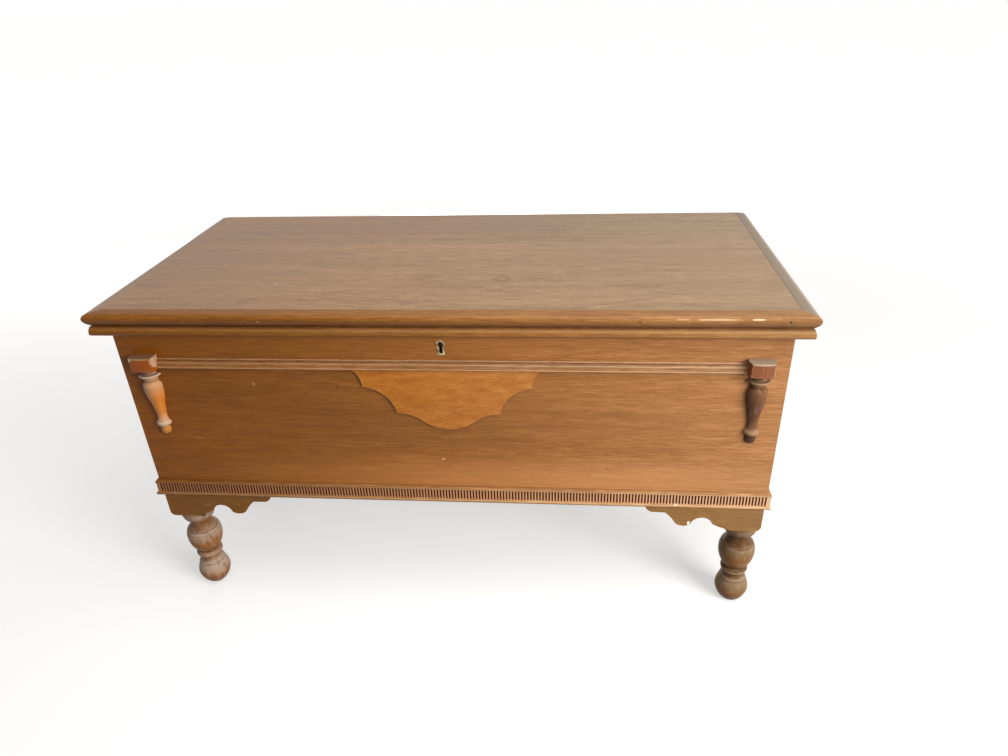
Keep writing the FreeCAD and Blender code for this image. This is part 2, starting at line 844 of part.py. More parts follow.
def front_board():
    """Front of the case with the keyhole and the lock's mortise."""
    board = long_board(case_front, inner_front)
    half_plate = lock_plate_width / 2 + mortise_clearance
    half_cap = lock_cap_width / 2 + mortise_clearance
    plate_bed = block(-half_plate, half_plate, plate_near, inner_front,
                      case_top - lock_plate_height - mortise_clearance, case_top)
    selvedge_bed = block(-half_plate, half_plate, inner_front - selvedge_width - mortise_clearance,
                         inner_front, selvedge_foot, case_top)
    cap_bed = block(-half_cap, half_cap, cap_near - mortise_clearance, inner_front,
                    cap_foot_z - mortise_clearance, case_top)
    lining = keyhole_prism(escutcheon_rim + fit_clearance, escutcheon_flare, case_front,
                           case_front + escutcheon_depth)
    keyhole = keyhole_prism(0, 0, case_front, inner_front)
    return board.cut([plate_bed, selvedge_bed, cap_bed, lining, keyhole])


# ---------------------------------------------------------------- hinges

hinge_centres = [hinge_inset - case_side, 0.0, case_side - hinge_inset]


def leaf_screw_places(centre, surface, direction):
    """Three screw holes along one hinge leaf."""
    step = hinge_length / 2 - 2 * screw_edge
    y = case_back - hinge_leaf_width / 2
    return [(vec(centre + along * step, y, surface), direction) for along in (-1, 0, 1)]


def leaf_bed(centre, low, high):
    """Flat of a hinge leaf, and the bed that is cut for it."""
    return block(centre - hinge_length / 2, centre + hinge_length / 2, case_back - hinge_leaf_width,
                 case_back, low, high)


def hinge_leaf(centre, low, high, first_knuckle):
    """One leaf with every other knuckle, bored for the pin."""
    pitch = hinge_length / knuckle_count
    bore_radius = hinge_pin_radius + running_clearance
    body = leaf_bed(centre, low, high)
    for number in range(first_knuckle, knuckle_count, 2):
        start = centre - hinge_length / 2 + number * pitch + knuckle_gap / 2
        end = start + pitch - knuckle_gap
        barrel = rod(knuckle_radius, vec(start, hinge_y, hinge_z), vec(end, hinge_y, hinge_z))
        neck = block(start, end, case_back, hinge_y, low, high)
        body = body.fuse([barrel, neck])
    bore = rod(bore_radius, vec(centre - hinge_length, hinge_y, hinge_z),
               vec(centre + hinge_length, hinge_y, hinge_z))
    return body.cut(bore).removeSplitter()


def case_leaf(centre):
    """Lower leaf, on top of the back board."""
    leaf = hinge_leaf(centre, case_top - hinge_leaf_thickness, case_top, 0)
    places = leaf_screw_places(centre, case_top, DOWN)
    return countersunk(leaf, places, hinge_sink_radius, hinge_leaf_thickness)


def lid_leaf(centre):
    """Upper leaf, under the lid."""
    leaf = hinge_leaf(centre, lid_bottom, lid_bottom + hinge_leaf_thickness, 1)
    places = leaf_screw_places(centre, lid_bottom, UP)
    return countersunk(leaf, places, hinge_sink_radius, hinge_leaf_thickness)


def hinge_pin(centre):
    """Pin through all the knuckles of one hinge."""
    half = hinge_length / 2
    return rod(hinge_pin_radius, vec(centre - half, hinge_y, hinge_z), vec(centre + half, hinge_y, hinge_z))


def back_board():
    """Back of the case with the beds of the hinge leaves."""
    beds = [leaf_bed(centre, case_top - hinge_leaf_thickness, case_top) for centre in hinge_centres]
    return long_board(inner_back, case_back).cut(beds)


# ---------------------------------------------------------------- lid stay

stay_lid_angle = math.degrees(math.asin((hinge_z - lid_bottom + stay_pivot_drop) / stay_radius))


def around_hinge(angle):
    """Point on the stay's circle, at an angle below the line from the hinge axis to the front."""
    turn = math.radians(angle)
    return (hinge_y - stay_radius * math.cos(turn), hinge_z - stay_radius * math.sin(turn))


stay_pivot_y, stay_pivot_z = around_hinge(stay_lid_angle)
stay_stud_y, stay_stud_z = around_hinge(stay_lid_angle + stay_closed_angle)
stay_shut_reach = 2 * stay_radius * math.sin(math.radians(stay_closed_angle) / 2)
stay_open_reach = 2 * stay_radius * math.sin(math.radians(stay_closed_angle + lid_open_angle) / 2)
stay_plate_x = inner_side - stay_plate_thickness
arm_far = stay_plate_x - stay_wall_gap
arm_near = arm_far - stay_arm_thickness
ear_far = arm_near - stay_side_gap
ear_near = ear_far - stay_arm_thickness


def stay_plate_screw_places():
    """One screw hole above the stud and one below it, in the stud's plate."""
    offset = stay_plate_height / 2 - screw_edge
    return [(vec(stay_plate_x, stay_stud_y, stay_stud_z + way * offset), RIGHT) for way in (-1, 1)]


def stay_bracket_screw_places():
    """Three screw holes along the flange of the stay's bracket."""
    x = ear_near - stay_bracket_width / 2
    offset = stay_bracket_length / 2 - screw_edge
    low = lid_bottom - stay_arm_thickness
    return [(vec(x, stay_pivot_y + way * offset, low), UP) for way in (-1, 0, 1)]


def stay_plate():
    """Plate on the inside of the right side that holds the stud."""
    half = stay_plate_width / 2
    tall = stay_plate_height / 2
    body = block(stay_plate_x, inner_side, stay_stud_y - half, stay_stud_y + half,
                 stay_stud_z - tall, stay_stud_z + tall)
    bore = rod(stay_stud_radius, vec(stay_plate_x, stay_stud_y, stay_stud_z),
               vec(inner_side, stay_stud_y, stay_stud_z))
    return countersunk(body.cut(bore), stay_plate_screw_places(), plate_sink_radius, stay_plate_thickness)


def stay_stud():
    """Headed stud that runs in the slot of the arm, with a collar against the plate."""
    head_far = arm_near - stay_side_gap

    def point(x):
        return vec(x, stay_stud_y, stay_stud_z)

    shank = rod(stay_stud_radius, point(head_far), point(inner_side))
    head = rod(stay_stud_head_radius, point(head_far - stay_head_thickness), point(head_far))
    collar = rod(stay_collar_radius, point(arm_far + stay_side_gap), point(stay_plate_x))
    return shank.fuse([head, collar]).removeSplitter()


def stay_bracket():
    """Angle bracket under the lid, with an ear that carries the arm's pivot."""
    half = stay_bracket_length / 2
    low = lid_bottom - stay_arm_thickness
    flange = block(ear_near - stay_bracket_width, ear_far, stay_pivot_y - half, stay_pivot_y + half,
                   low, lid_bottom)
    ear_half = stay_arm_width / 2
    ear = block(ear_near, ear_far, stay_pivot_y - ear_half, stay_pivot_y + ear_half,
                stay_pivot_z, lid_bottom)
    near_end = vec(ear_near, stay_pivot_y, stay_pivot_z)
    far_end = vec(ear_far, stay_pivot_y, stay_pivot_z)
    eye = rod(ear_half, near_end, far_end)
    bore = rod(stay_rivet_radius, near_end, far_end)
    body = flange.fuse([ear, eye]).cut(bore).removeSplitter()
    return countersunk(body, stay_bracket_screw_places(), plate_sink_radius, stay_arm_thickness)


def stay_rivet():
    """Rivet that joins the arm to the bracket's ear."""
    def point(x):
        return vec(x, stay_pivot_y, stay_pivot_z)

    tail = arm_far + stay_side_gap
    shank = rod(stay_rivet_radius, point(ear_near - stay_head_thickness), point(tail + stay_head_thickness))
    inner_head = rod(stay_rivet_head_radius, point(ear_near - stay_head_thickness), point(ear_near))
    outer_head = rod(stay_rivet_head_radius, point(tail), point(tail + stay_head_thickness))
    return shank.fuse([inner_head, outer_head]).removeSplitter()


def stay_arm():
    """Flat arm with a long slot for the stud and a notch that holds the lid open."""
    half = stay_arm_width / 2
    slot = stay_stud_radius + stay_slot_clearance
    slot_start = stay_shut_reach
    slot_end = stay_open_reach
    length = slot_end + slot + half * stay_arm_end_ratio
    down_y = stay_stud_y - stay_pivot_y
    down_z = stay_stud_z - stay_pivot_z
    ahead = (down_y / stay_shut_reach, down_z / stay_shut_reach)

    def place(along, across):
        return vec(arm_near, stay_pivot_y + along * ahead[0] + across * ahead[1],
                   stay_pivot_z + along * ahead[1] - across * ahead[0])

    def bar(start, end, radius):
        round_end = [(end + radius, 0), (end, -radius)]
        round_start = [(start - radius, 0), (start, radius)]
        return face_inside(place, (start, radius), [[(end, radius)], round_end, [(start, -radius)],
                                                    round_start])

    thickness = RIGHT * stay_arm_thickness
    body = bar(0, length - half, half).extrude(thickness)
    opening = bar(slot_start, slot_end, slot).extrude(thickness)
    notch_middle = place(slot_end - slot, -stay_notch_depth)
    notch = rod(slot, notch_middle, notch_middle + thickness)
    pivot = place(0, 0)
    bore = rod(stay_rivet_radius + running_clearance, pivot, pivot + thickness)
    return body.cut([opening, notch, bore])


# ---------------------------------------------------------------- lid

def lid_board():
    """Flat of the lid with the beds of the hinge leaves and the link plate."""
    board = block(-lid_side, lid_side, lid_front, case_back, lid_bottom, lid_top)
    beds = [leaf_bed(centre, lid_bottom, lid_bottom + hinge_leaf_thickness) for centre in hinge_centres]
    return board.cut(beds + [link_plate_body(fit_clearance)])


def lid_profile():
    """Outline of the lid moulding from its back: crowned nose, quirk, cove and the bead that hangs over
    the case. Distance out from the lid's edge, and height above the moulding's foot."""
    out = lid_moulding_width
    top = lid_moulding_height
    nose_foot = top - nose_height
    quirk_foot = nose_foot - lid_quirk_height
    nose_low = (out - nose_undercut, nose_foot)
    bead = out - lid_bead_setback
    slant = lid_bead_radius * (1 - math.sqrt(0.5))
    cove_head = (bead - lid_cove_depth, quirk_foot)
    tilt = math.sin(math.radians(nose_crown_angle))
    crown_end_x = out - nose_radius * (1 - tilt)
    crown_drop = crown_end_x * math.tan(math.radians(nose_crown_angle) / 2)
    crown_end = (crown_end_x, top - crown_drop)
    nose_tip = (out, crown_end[1] - nose_radius * math.cos(math.radians(nose_crown_angle)))
    half_way = math.radians((90 - nose_crown_angle) / 2)
    nose_middle = (out - nose_radius + nose_radius * math.cos(half_way),
                   nose_tip[1] + nose_radius * math.sin(half_way))
    return [
        [(bead - lid_bead_radius, 0)],
        [(bead - slant, slant), (bead, lid_bead_radius)],
        [arc_through((bead, lid_bead_radius), cove_head, -lid_cove_bow), cove_head],
        [(out - lid_quirk_depth, quirk_foot)],
        [(out - lid_quirk_depth, nose_foot)],
        [nose_low],
        [arc_through(nose_low, nose_tip, -nose_foot_bow), nose_tip],
        [nose_middle, crown_end],
        [(crown_end_x / 2, top - crown_drop / 4), (0, top)],
    ]


def front_lid_moulding():
    """Moulding along the front edge of the lid, mitred at both ends."""
    out = lid_moulding_width
    foot = lid_top - lid_moulding_height
    start_x = -lid_side - out
    end = face_inside(lambda away, z: vec(start_x, lid_front - away, foot + z), (0, 0), lid_profile())
    return mitred_front(end, lid_side, lid_front, out, foot, lid_top)


def side_lid_moulding():
    """Moulding along the right edge of the lid, mitred in front."""
    out = lid_moulding_width
    foot = lid_top - lid_moulding_height
    start_y = lid_front - out
    end = face_inside(lambda away, z: vec(lid_side + away, start_y, foot + z), (0, 0), lid_profile())
    return mitred_side(end, lid_side, lid_front, case_back, out, foot, lid_top)


# ---------------------------------------------------------------- pieces and files

def pieces():
    """Every piece of the chest under its own name."""
    to_back = BACK * (leg_back_y - leg_front_y)
    front_right_leg = leg()
    front_right_block = corner_block()
    rear_right_block = front_right_block.mirror(vec(0, (leg_front_y + leg_back_y) / 2, 0), BACK)
    side_moulding = side_base_moulding()
    lid_edge = side_lid_moulding()
    right_drop, left_drop = front_drops()
    bracket = front_bracket()
    found = {
        "front_panel": front_board(),
        "back_panel": back_board(),
        "left_side_panel": mirrored(side_board()),
        "right_side_panel": side_board(),
        "bottom_panel": bottom_board(),
        "front_left_leg": mirrored(front_right_leg),
        "front_right_leg": front_right_leg,
        "rear_left_leg": mirrored(front_right_leg).translated(to_back),
        "rear_right_leg": front_right_leg.translated(to_back),
        "front_left_corner_block": mirrored(front_right_block),
        "front_right_corner_block": front_right_block,
        "rear_left_corner_block": mirrored(rear_right_block),
        "rear_right_corner_block": rear_right_block,
        "front_base_moulding": front_base_moulding(),
        "left_base_moulding": mirrored(side_moulding),
        "right_base_moulding": side_moulding,
        "left_bracket": mirrored(bracket),
        "right_bracket": bracket,
        "rail_moulding": rail_moulding(),
        "front_overlay": overlay_panel(),
        "left_drop": left_drop,
        "right_drop": right_drop,
        "keyhole_escutcheon": escutcheon(),
        "lock_plate": lock_plate(),
        "lock_cap": lock_cap(),
        "lock_pin": lock_pin(),
        "lock_spring": lock_spring(),
        "lock_bolt": lock_bolt(),
        "stay_plate": stay_plate(),
        "stay_stud": stay_stud(),
        "stay_arm": stay_arm(),
        "lid_panel": lid_board(),
        "lid_front_moulding": front_lid_moulding(),
        "lid_left_moulding": mirrored(lid_edge),
        "lid_right_moulding": lid_edge,
        "link_plate": link_plate(),
        "stay_bracket": stay_bracket(),
        "stay_rivet": stay_rivet(),
    }
    for name, centre in zip(("left", "middle", "right"), hinge_centres):
        found[name + "_hinge_case_leaf"] = case_leaf(centre)
        found[name + "_hinge_lid_leaf"] = lid_leaf(centre)
        found[name + "_hinge_pin"] = hinge_pin(centre)
    return found


os.makedirs("parts", exist_ok=True)
for node, shape in pieces().items():
    shape.exportStep(os.path.join("parts", node + ".step"))
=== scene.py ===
import math

import bmesh
import bpy
from mathutils import Matrix, Vector


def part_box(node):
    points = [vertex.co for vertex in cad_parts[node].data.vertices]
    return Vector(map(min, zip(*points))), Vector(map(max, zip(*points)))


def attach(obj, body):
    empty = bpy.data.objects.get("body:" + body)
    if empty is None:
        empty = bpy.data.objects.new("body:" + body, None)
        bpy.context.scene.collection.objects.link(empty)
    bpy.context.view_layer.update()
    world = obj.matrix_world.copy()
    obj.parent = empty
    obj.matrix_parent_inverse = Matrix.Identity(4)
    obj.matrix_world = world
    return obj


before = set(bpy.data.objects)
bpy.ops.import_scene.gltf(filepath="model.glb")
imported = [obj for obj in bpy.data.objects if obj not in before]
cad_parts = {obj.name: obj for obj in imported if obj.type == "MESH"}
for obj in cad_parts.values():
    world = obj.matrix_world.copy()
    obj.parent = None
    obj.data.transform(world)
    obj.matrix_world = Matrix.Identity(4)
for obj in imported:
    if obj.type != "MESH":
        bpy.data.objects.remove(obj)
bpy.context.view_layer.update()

# x runs to the chest's right-hand end as seen from the front, y to its back, and z up. Sizes are written in
# millimetres, and MM turns them to metres where Blender takes them.
MM = 0.001


# ---------------------------------------------------------------- places read from the frame, in mm

def box_mm(name):
    """Low and high corner of a CAD node, in millimetres."""
    low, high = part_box(name)
    return low / MM, high / MM


front_low, front_high = box_mm("front_panel")
back_low, back_high = box_mm("back_panel")
side_low = box_mm("right_side_panel")[0]
lid_low, lid_high = box_mm("lid_panel")
nose_low, nose_high = box_mm("lid_front_moulding")
base_low, base_high = box_mm("front_base_moulding")
drop_low, drop_high = box_mm("right_drop")
rail_low, rail_high = box_mm("rail_moulding")

CASE_FRONT = front_low.y
CASE_BACK = back_high.y
CASE_SIDE = front_high.x
CASE_FOOT = front_low.z
CASE_TOP = front_high.z
INNER_FRONT = front_high.y
INNER_BACK = back_low.y
INNER_SIDE = side_low.x
LID_FOOT = lid_low.z
LID_TOP = lid_high.z
LID_SIDE = lid_high.x
LID_EDGE = nose_high.x
NOSE_Y = nose_low.y
BASE_Y = base_low.y

BASE_TOP = base_high.z
BEAD_FOOT = nose_low.z
RAIL_FOOT = rail_low.z
RAIL_TOP = rail_high.z
BLOCK_TOP = drop_high.z
DROP_FOOT = drop_low.z
DROP_Y = drop_low.y
DROP_X = (drop_low.x + drop_high.x) / 2

# Real sizes inside one piece, which its box doesn't give
FLUTE_FACE = 5.2                # how far the fluted face stands out from the case
FLUTE_DEPTH = 2.2
FLUTES_LOW = CASE_FOOT + 7.5    # top of the bead under the flutes
FLUTES_HIGH = FLUTES_LOW + 20.0
NOSE_FOOT = LID_TOP - 22.0      # the quirk between the lid's nosing and its bead
BLOCK_FOOT = BLOCK_TOP - 24.5
TURNED_TOP = CASE_FOOT - 71.0   # a leg is turned from the floor up to here


# ---------------------------------------------------------------- node and colour helpers

def linear(code):
    """sRGB hex colour as linear red, green, blue and alpha."""
    parts = [int(code[at:at + 2], 16) / 255 for at in (1, 3, 5)]
    return tuple(c / 12.92 if c <= 0.04045 else ((c + 0.055) / 1.055) ** 2.4 for c in parts) + (1.0,)


def node(tree, kind, inputs=None, stops=(), **settings):
    """Adds one node. inputs maps a socket's name or number to a value, a socket, or another node, whose
    output in use is then linked. stops are a colour ramp's places and hex colours."""
    made = tree.nodes.new("ShaderNode" + kind)
    for name, value in settings.items():
        setattr(made, name, value)
    for number, (place, code) in enumerate(stops):
        ramp = made.color_ramp.elements
        element = ramp[number] if number < 2 else ramp.new(place)
        element.position = place
        element.color = linear(code)
    for name, value in (inputs or {}).items():
        if isinstance(value, bpy.types.Node):
            value = next(output for output in value.outputs if output.enabled)
        if isinstance(value, bpy.types.NodeSocket):
            tree.links.new(value, made.inputs[name])
        else:
            made.inputs[name].default_value = value
    return made


def new_material(name):
    """Material with an empty node tree, and that tree."""
    material = bpy.data.materials.new(name)
    material.use_nodes = True
    material.node_tree.nodes.clear()
    return material, material.node_tree


def place_on_piece(tree):
    """Place on the piece itself in millimetres, which moves with it."""
    coordinates = node(tree, "TexCoord").outputs["Object"]
    return node(tree, "VectorMath", {0: coordinates, 1: (1 / MM,) * 3}, operation="MULTIPLY")


# ---------------------------------------------------------------- wood

def grain(tree, place, along, lines, seed):
    """Figure of one flat-sawn board. along is the axis of its grain, and lines is about how many growth
    lines its figure crosses. Returns its tone, about 0.35 to 0.65, and the slow drift of its colour."""
    axes = node(tree, "SeparateXYZ", {0: place}).outputs
    order = {"X": (0, 1, 2), "Y": (1, 0, 2), "Z": (2, 0, 1)}[along]
    run = node(tree, "CombineXYZ", {slot: axes[axis] for slot, axis in enumerate(order)})
    shifted = node(tree, "VectorMath", {0: run, 1: (613.0 * seed, 97.0 * seed, 41.0 * seed)},
                   operation="ADD")
    # The figure changes over 600 mm along the board and 85 mm across it, and its soft bands are 14 mm
    # wide. Fibre bundles are drawn 1.7 mm wide and 34 mm long, because pores of 0.2 mm are too fine.
    layers = []
    for length, width, detail in ((600.0, 85.0, 2.0), (240.0, 14.0, 3.0), (34.0, 1.7, 4.0)):
        squeezed = node(tree, "VectorMath", {0: shifted, 1: (1 / length, 1 / width, 1 / width)},
                        operation="MULTIPLY")
        layers.append(node(tree, "TexNoise", {"Vector": squeezed, "Scale": 1.0, "Detail": detail,
                                              "Roughness": 0.55}))
    drift, band, fibre = layers
    # A growth line is a thin contour of the slow figure, and the soft bands make it waver
    turns = node(tree, "Math", {0: drift, 1: lines, 2: band}, operation="MULTIPLY_ADD")
    level = node(tree, "Math", {0: turns, 1: 0.5}, operation="PINGPONG")
    line = node(tree, "MapRange", {"Value": level, "From Min": 0.16, "From Max": 0.0})
    tone = node(tree, "Mix", {0: 0.72, 2: band, 3: fibre})
    figured = node(tree, "Math", {0: line, 1: -0.06, 2: tone}, operation="MULTIPLY_ADD")
    # Clusters of open pores are dark dashes, drawn 10 mm long and 1.3 mm wide
    dashed = node(tree, "VectorMath", {0: shifted, 1: (1 / 10.0, 1 / 1.3, 1 / 1.3)}, operation="MULTIPLY")
    dash = node(tree, "TexNoise", {"Vector": dashed, "Scale": 1.0, "Detail": 1.0})
    pore = node(tree, "MapRange", {"Value": dash, "From Min": 0.58, "From Max": 0.70, "To Max": -0.13})
    return node(tree, "Math", {0: figured, 1: pore}, operation="ADD"), drift


def spot(tree, place, centre, size, amount, ragged, blur):
    """Mark at a place on the piece, from its centre and half sizes in millimetres. ragged is how far its
    edge wanders and blur how softly it ends, both as parts of its size."""
    away = node(tree, "VectorMath", {0: place, 1: centre}, operation="SUBTRACT")
    scaled = node(tree, "VectorMath", {0: away, 1: size}, operation="DIVIDE")
    distance = node(tree, "VectorMath", {0: scaled}, operation="LENGTH")
    # The mark's edge wanders over about 3 mm
    noise = node(tree, "TexNoise", {"Vector": place, "Scale": 0.33, "Detail": 2.0}).outputs[0]
    edge = node(tree, "Math", {0: noise, 1: ragged, 2: distance}, operation="MULTIPLY_ADD")
    middle = 1.0 + ragged / 2
    return node(tree, "MapRange", {"Value": edge, "From Min": middle + blur, "From Max": middle - blur,
                                   "To Max": amount}, interpolation_type="SMOOTHSTEP")


def add_marks(tree, place, colour, marks, ragged=0.7, blur=0.15):
    """Lays marks on a colour. A mark is a centre, half sizes, a hex colour and how much it covers."""
    for centre, size, code, amount in marks:
        mark = spot(tree, place, centre, size, amount, ragged, blur)
        colour = node(tree, "Mix", {0: mark, 6: colour, 7: linear(code)}, data_type="RGBA")
    return colour


def level_lines(tree, place, colour, lines):
    """Level lines round a piece, for painted light and shade as well as wear, faint in places. A line is its
    height, half its width, a hex colour and how much it covers."""
    z = node(tree, "SeparateXYZ", {0: place}).outputs[2]
    # A line is kept or made faint over about 25 mm
    patch = node(tree, "TexNoise", {"Vector": place, "Scale": 0.04, "Detail": 3.0})
    kept = node(tree, "MapRange", {"Value": patch, "From Min": 0.36, "From Max": 0.54, "To Min": 0.7})
    for height, half, code, amount in lines:
        away = node(tree, "Math", {0: z, 1: height}, operation="SUBTRACT")
        off = node(tree, "Math", {0: away}, operation="ABSOLUTE")
        line = node(tree, "MapRange", {"Value": off, "From Min": half, "From Max": 0.4 * half,
                                       "To Max": amount})
        cover = node(tree, "Math", {0: line, 1: kept}, operation="MULTIPLY")
        colour = node(tree, "Mix", {0: cover, 6: colour, 7: linear(code)}, data_type="RGBA")
    return colour


def add_knocks(tree, place, colour):
    """Small pale or dark knocks, one in every 60 mm or so and about 2 mm across."""
    apart = 60.0
    cells = node(tree, "TexVoronoi", {"Vector": place, "Scale": 1 / apart})
    knock = node(tree, "MapRange", {"Value": cells.outputs["Distance"], "From Min": 1.56 / apart,
                                    "From Max": 0.6 / apart, "To Max": 0.45})
    kind = node(tree, "SeparateColor", {0: cells.outputs["Color"]}).outputs[0]
    shade = node(tree, "ValToRGB", {0: kind}, stops=[(0.45, "#4a2c16"), (0.55, "#dcb48a")])
    return node(tree, "Mix", {0: knock, 6: colour, 7: shade}, data_type="RGBA")


def rub_edges(tree, place, colour, code, amount):
    """Finish rubbed thin along sharp edges, over 1.4 mm and in patches of about 15 mm."""
    flat = node(tree, "NewGeometry").outputs["Normal"]
    rounded = node(tree, "Bevel", {"Radius": 1.4 * MM}, samples=4)
    alike = node(tree, "VectorMath", {0: flat, 1: rounded}, operation="DOT_PRODUCT")
    edge = node(tree, "MapRange", {"Value": alike, "From Min": 0.995, "From Max": 0.90, "To Max": amount})
    patch = node(tree, "TexNoise", {"Vector": place, "Scale": 0.07, "Detail": 3.0}).outputs[0]
    kept = node(tree, "MapRange", {"Value": patch, "From Min": 0.36, "From Max": 0.62})
    worn = node(tree, "Math", {0: edge, 1: kept}, operation="MULTIPLY")
    return node(tree, "Mix", {0: worn, 6: colour, 7: linear(code)}, data_type="RGBA")


def varnished_wood(name, along, stops, lines, seed, edge, roughness=0.46, gloss=0.3, painted_shade_ends=(0.80, 1.02),
                   detail=None):
    """Wood under old brushed varnish. stops are its colours from dark to pale figure, and edge is the
    colour of its rubbed edges and how much of it shows. The pair of brightnesses at the left-hand and
    right-hand ends is painted shade along the piece: most pieces are painted darker at the left, away from
    the lamps. detail adds what only this piece has: it gets the tree, the place on the piece, the colour so
    far and the grain's tone, and returns the new colour."""
    material, tree = new_material(name)
    place = place_on_piece(tree)
    tone, drift = grain(tree, place, along, lines, seed)
    colour = node(tree, "ValToRGB", {0: tone}, stops=stops)
    if detail:
        colour = detail(tree, place, colour, tone)
    # Painted shade: the varnish is painted darker and redder towards the left-hand end and brighter towards
    # the right-hand one, as the light falls from the right
    x = node(tree, "SeparateXYZ", {0: place}).outputs[0]
    painted_side_shade = node(tree, "MapRange", {"Value": x, "From Min": -LID_SIDE, "From Max": 0.5 * LID_SIDE,
                                    "To Min": painted_shade_ends[0], "To Max": painted_shade_ends[1]},
                 interpolation_type="SMOOTHSTEP")
    shade = node(tree, "MapRange", {"Value": drift, "From Min": 0.35, "From Max": 0.65, "To Min": 0.94,
                                    "To Max": 1.06})
    value = node(tree, "Math", {0: painted_side_shade, 1: shade}, operation="MULTIPLY")
    depth = node(tree, "MapRange", {"Value": x, "From Min": -LID_SIDE, "From Max": LID_SIDE,
                                    "To Min": 1.13, "To Max": 0.93})
    painted_side_hue = node(tree, "MapRange", {"Value": x, "From Min": -LID_SIDE, "From Max": LID_SIDE, "To Min": 0.490,
                                  "To Max": 0.500})
    colour = node(tree, "HueSaturation", {"Hue": painted_side_hue, "Saturation": depth, "Value": value, "Color": colour})
    colour = add_knocks(tree, place, colour)
    colour = rub_edges(tree, place, colour, *edge)
    uneven = node(tree, "MapRange", {"Value": tone, "From Min": 0.3, "From Max": 0.7,
                                     "To Min": roughness - 0.05, "To Max": roughness + 0.05})
    # Varnish fills the pores nearly full and leaves about 0.04 mm of relief
    relief = node(tree, "Bump", {"Strength": 0.08, "Distance": 0.5 * MM, "Height": tone})
    shader = node(tree, "BsdfPrincipled", {"Base Color": colour, "Roughness": uneven, "Normal": relief,
                                           "Specular IOR Level": gloss})
    node(tree, "OutputMaterial", {"Surface": shader})
    return material


def bare_cedar_inside(tree, place, colour, tone):
    """Unvarnished red cedar on the faces that look into the chest: pink-brown, dull and evenly toned."""
    x, y, z = node(tree, "SeparateXYZ", {0: place}).outputs
    width = node(tree, "Math", {0: x}, operation="ABSOLUTE")
    # The two finishes meet in the first half millimetre behind the inner faces and under the top edges
    inside = 1.0
    for value, out, within in ((y, INNER_FRONT - 0.6, INNER_FRONT - 0.2),
                               (y, INNER_BACK + 0.6, INNER_BACK + 0.2),
                               (width, INNER_SIDE + 0.6, INNER_SIDE + 0.2),
                               (z, CASE_TOP - 0.1, CASE_TOP - 0.5)):
        passed = node(tree, "MapRange", {"Value": value, "From Min": out, "From Max": within})
        inside = node(tree, "Math", {0: inside, 1: passed}, operation="MULTIPLY")
    cedar = node(tree, "ValToRGB", {0: tone}, stops=[(0.35, "#a5643f"), (0.5, "#bb7d53"), (0.62, "#cf9b70")])
    return node(tree, "Mix", {0: inside, 6: colour, 7: cedar}, data_type="RGBA")


def lid_marks(tree, place, colour, tone):
    """Ring stain, dark streaks and pale specks on the lid, painted shade at its back and left-hand end,
    painted light at its right-hand end, and unvarnished wood under it.
    """
    ring_middle = (92.0, -121.0, LID_TOP)
    ring_radius = 11.0
    ring_half = 4.0
    away = node(tree, "VectorMath", {0: place, 1: ring_middle}, operation="SUBTRACT")
    radius = node(tree, "VectorMath", {0: away}, operation="LENGTH")
    ring = node(tree, "Math", {0: radius, 1: ring_radius, 2: ring_half}, operation="COMPARE")
    stain = node(tree, "Math", {0: ring, 1: 0.34}, operation="MULTIPLY")
    colour = node(tree, "Mix", {0: stain, 6: colour, 7: linear("#5e4228")}, data_type="RGBA")
    colour = add_marks(tree, place, colour, [
        ((338.0, -156.0, LID_TOP), (26.0, 3.0, 4.0), "#6a4c31", 0.35),
        ((-302.0, -143.0, LID_TOP), (3.5, 2.5, 4.0), "#dcc3a4", 0.8),
        ((-14.0, -17.5, LID_TOP), (22.0, 2.5, 4.0), "#cfb08c", 0.4),
        ((230.0, -60.0, LID_TOP), (34.0, 4.0, 4.0), "#7f6042", 0.3),
    ])
    # Painted shade at the lid's back and left-hand end, and painted light warming its right-hand end
    colour = add_marks(tree, place, colour, [
        ((-180.0, 190.0, LID_TOP), (360.0, 90.0, 90.0), "#86674f", 0.35),
        ((-470.0, -60.0, LID_TOP), (200.0, 190.0, 190.0), "#86705a", 0.30),
        ((480.0, -60.0, LID_TOP), (240.0, 200.0, 200.0), "#9c7850", 0.30),
    ], ragged=0.1, blur=0.8)
    # The lid's underside, up to 2.4 mm above its foot, was never varnished
    z = node(tree, "SeparateXYZ", {0: place}).outputs[2]
    under = node(tree, "MapRange", {"Value": z, "From Min": LID_FOOT + 2.4, "From Max": LID_FOOT + 0.4})
    bare = node(tree, "ValToRGB", {0: tone}, stops=[(0.35, "#ab6f49"), (0.5, "#c18a5e"), (0.62, "#d2a67c")])
    return node(tree, "Mix", {0: under, 6: colour, 7: bare}, data_type="RGBA")


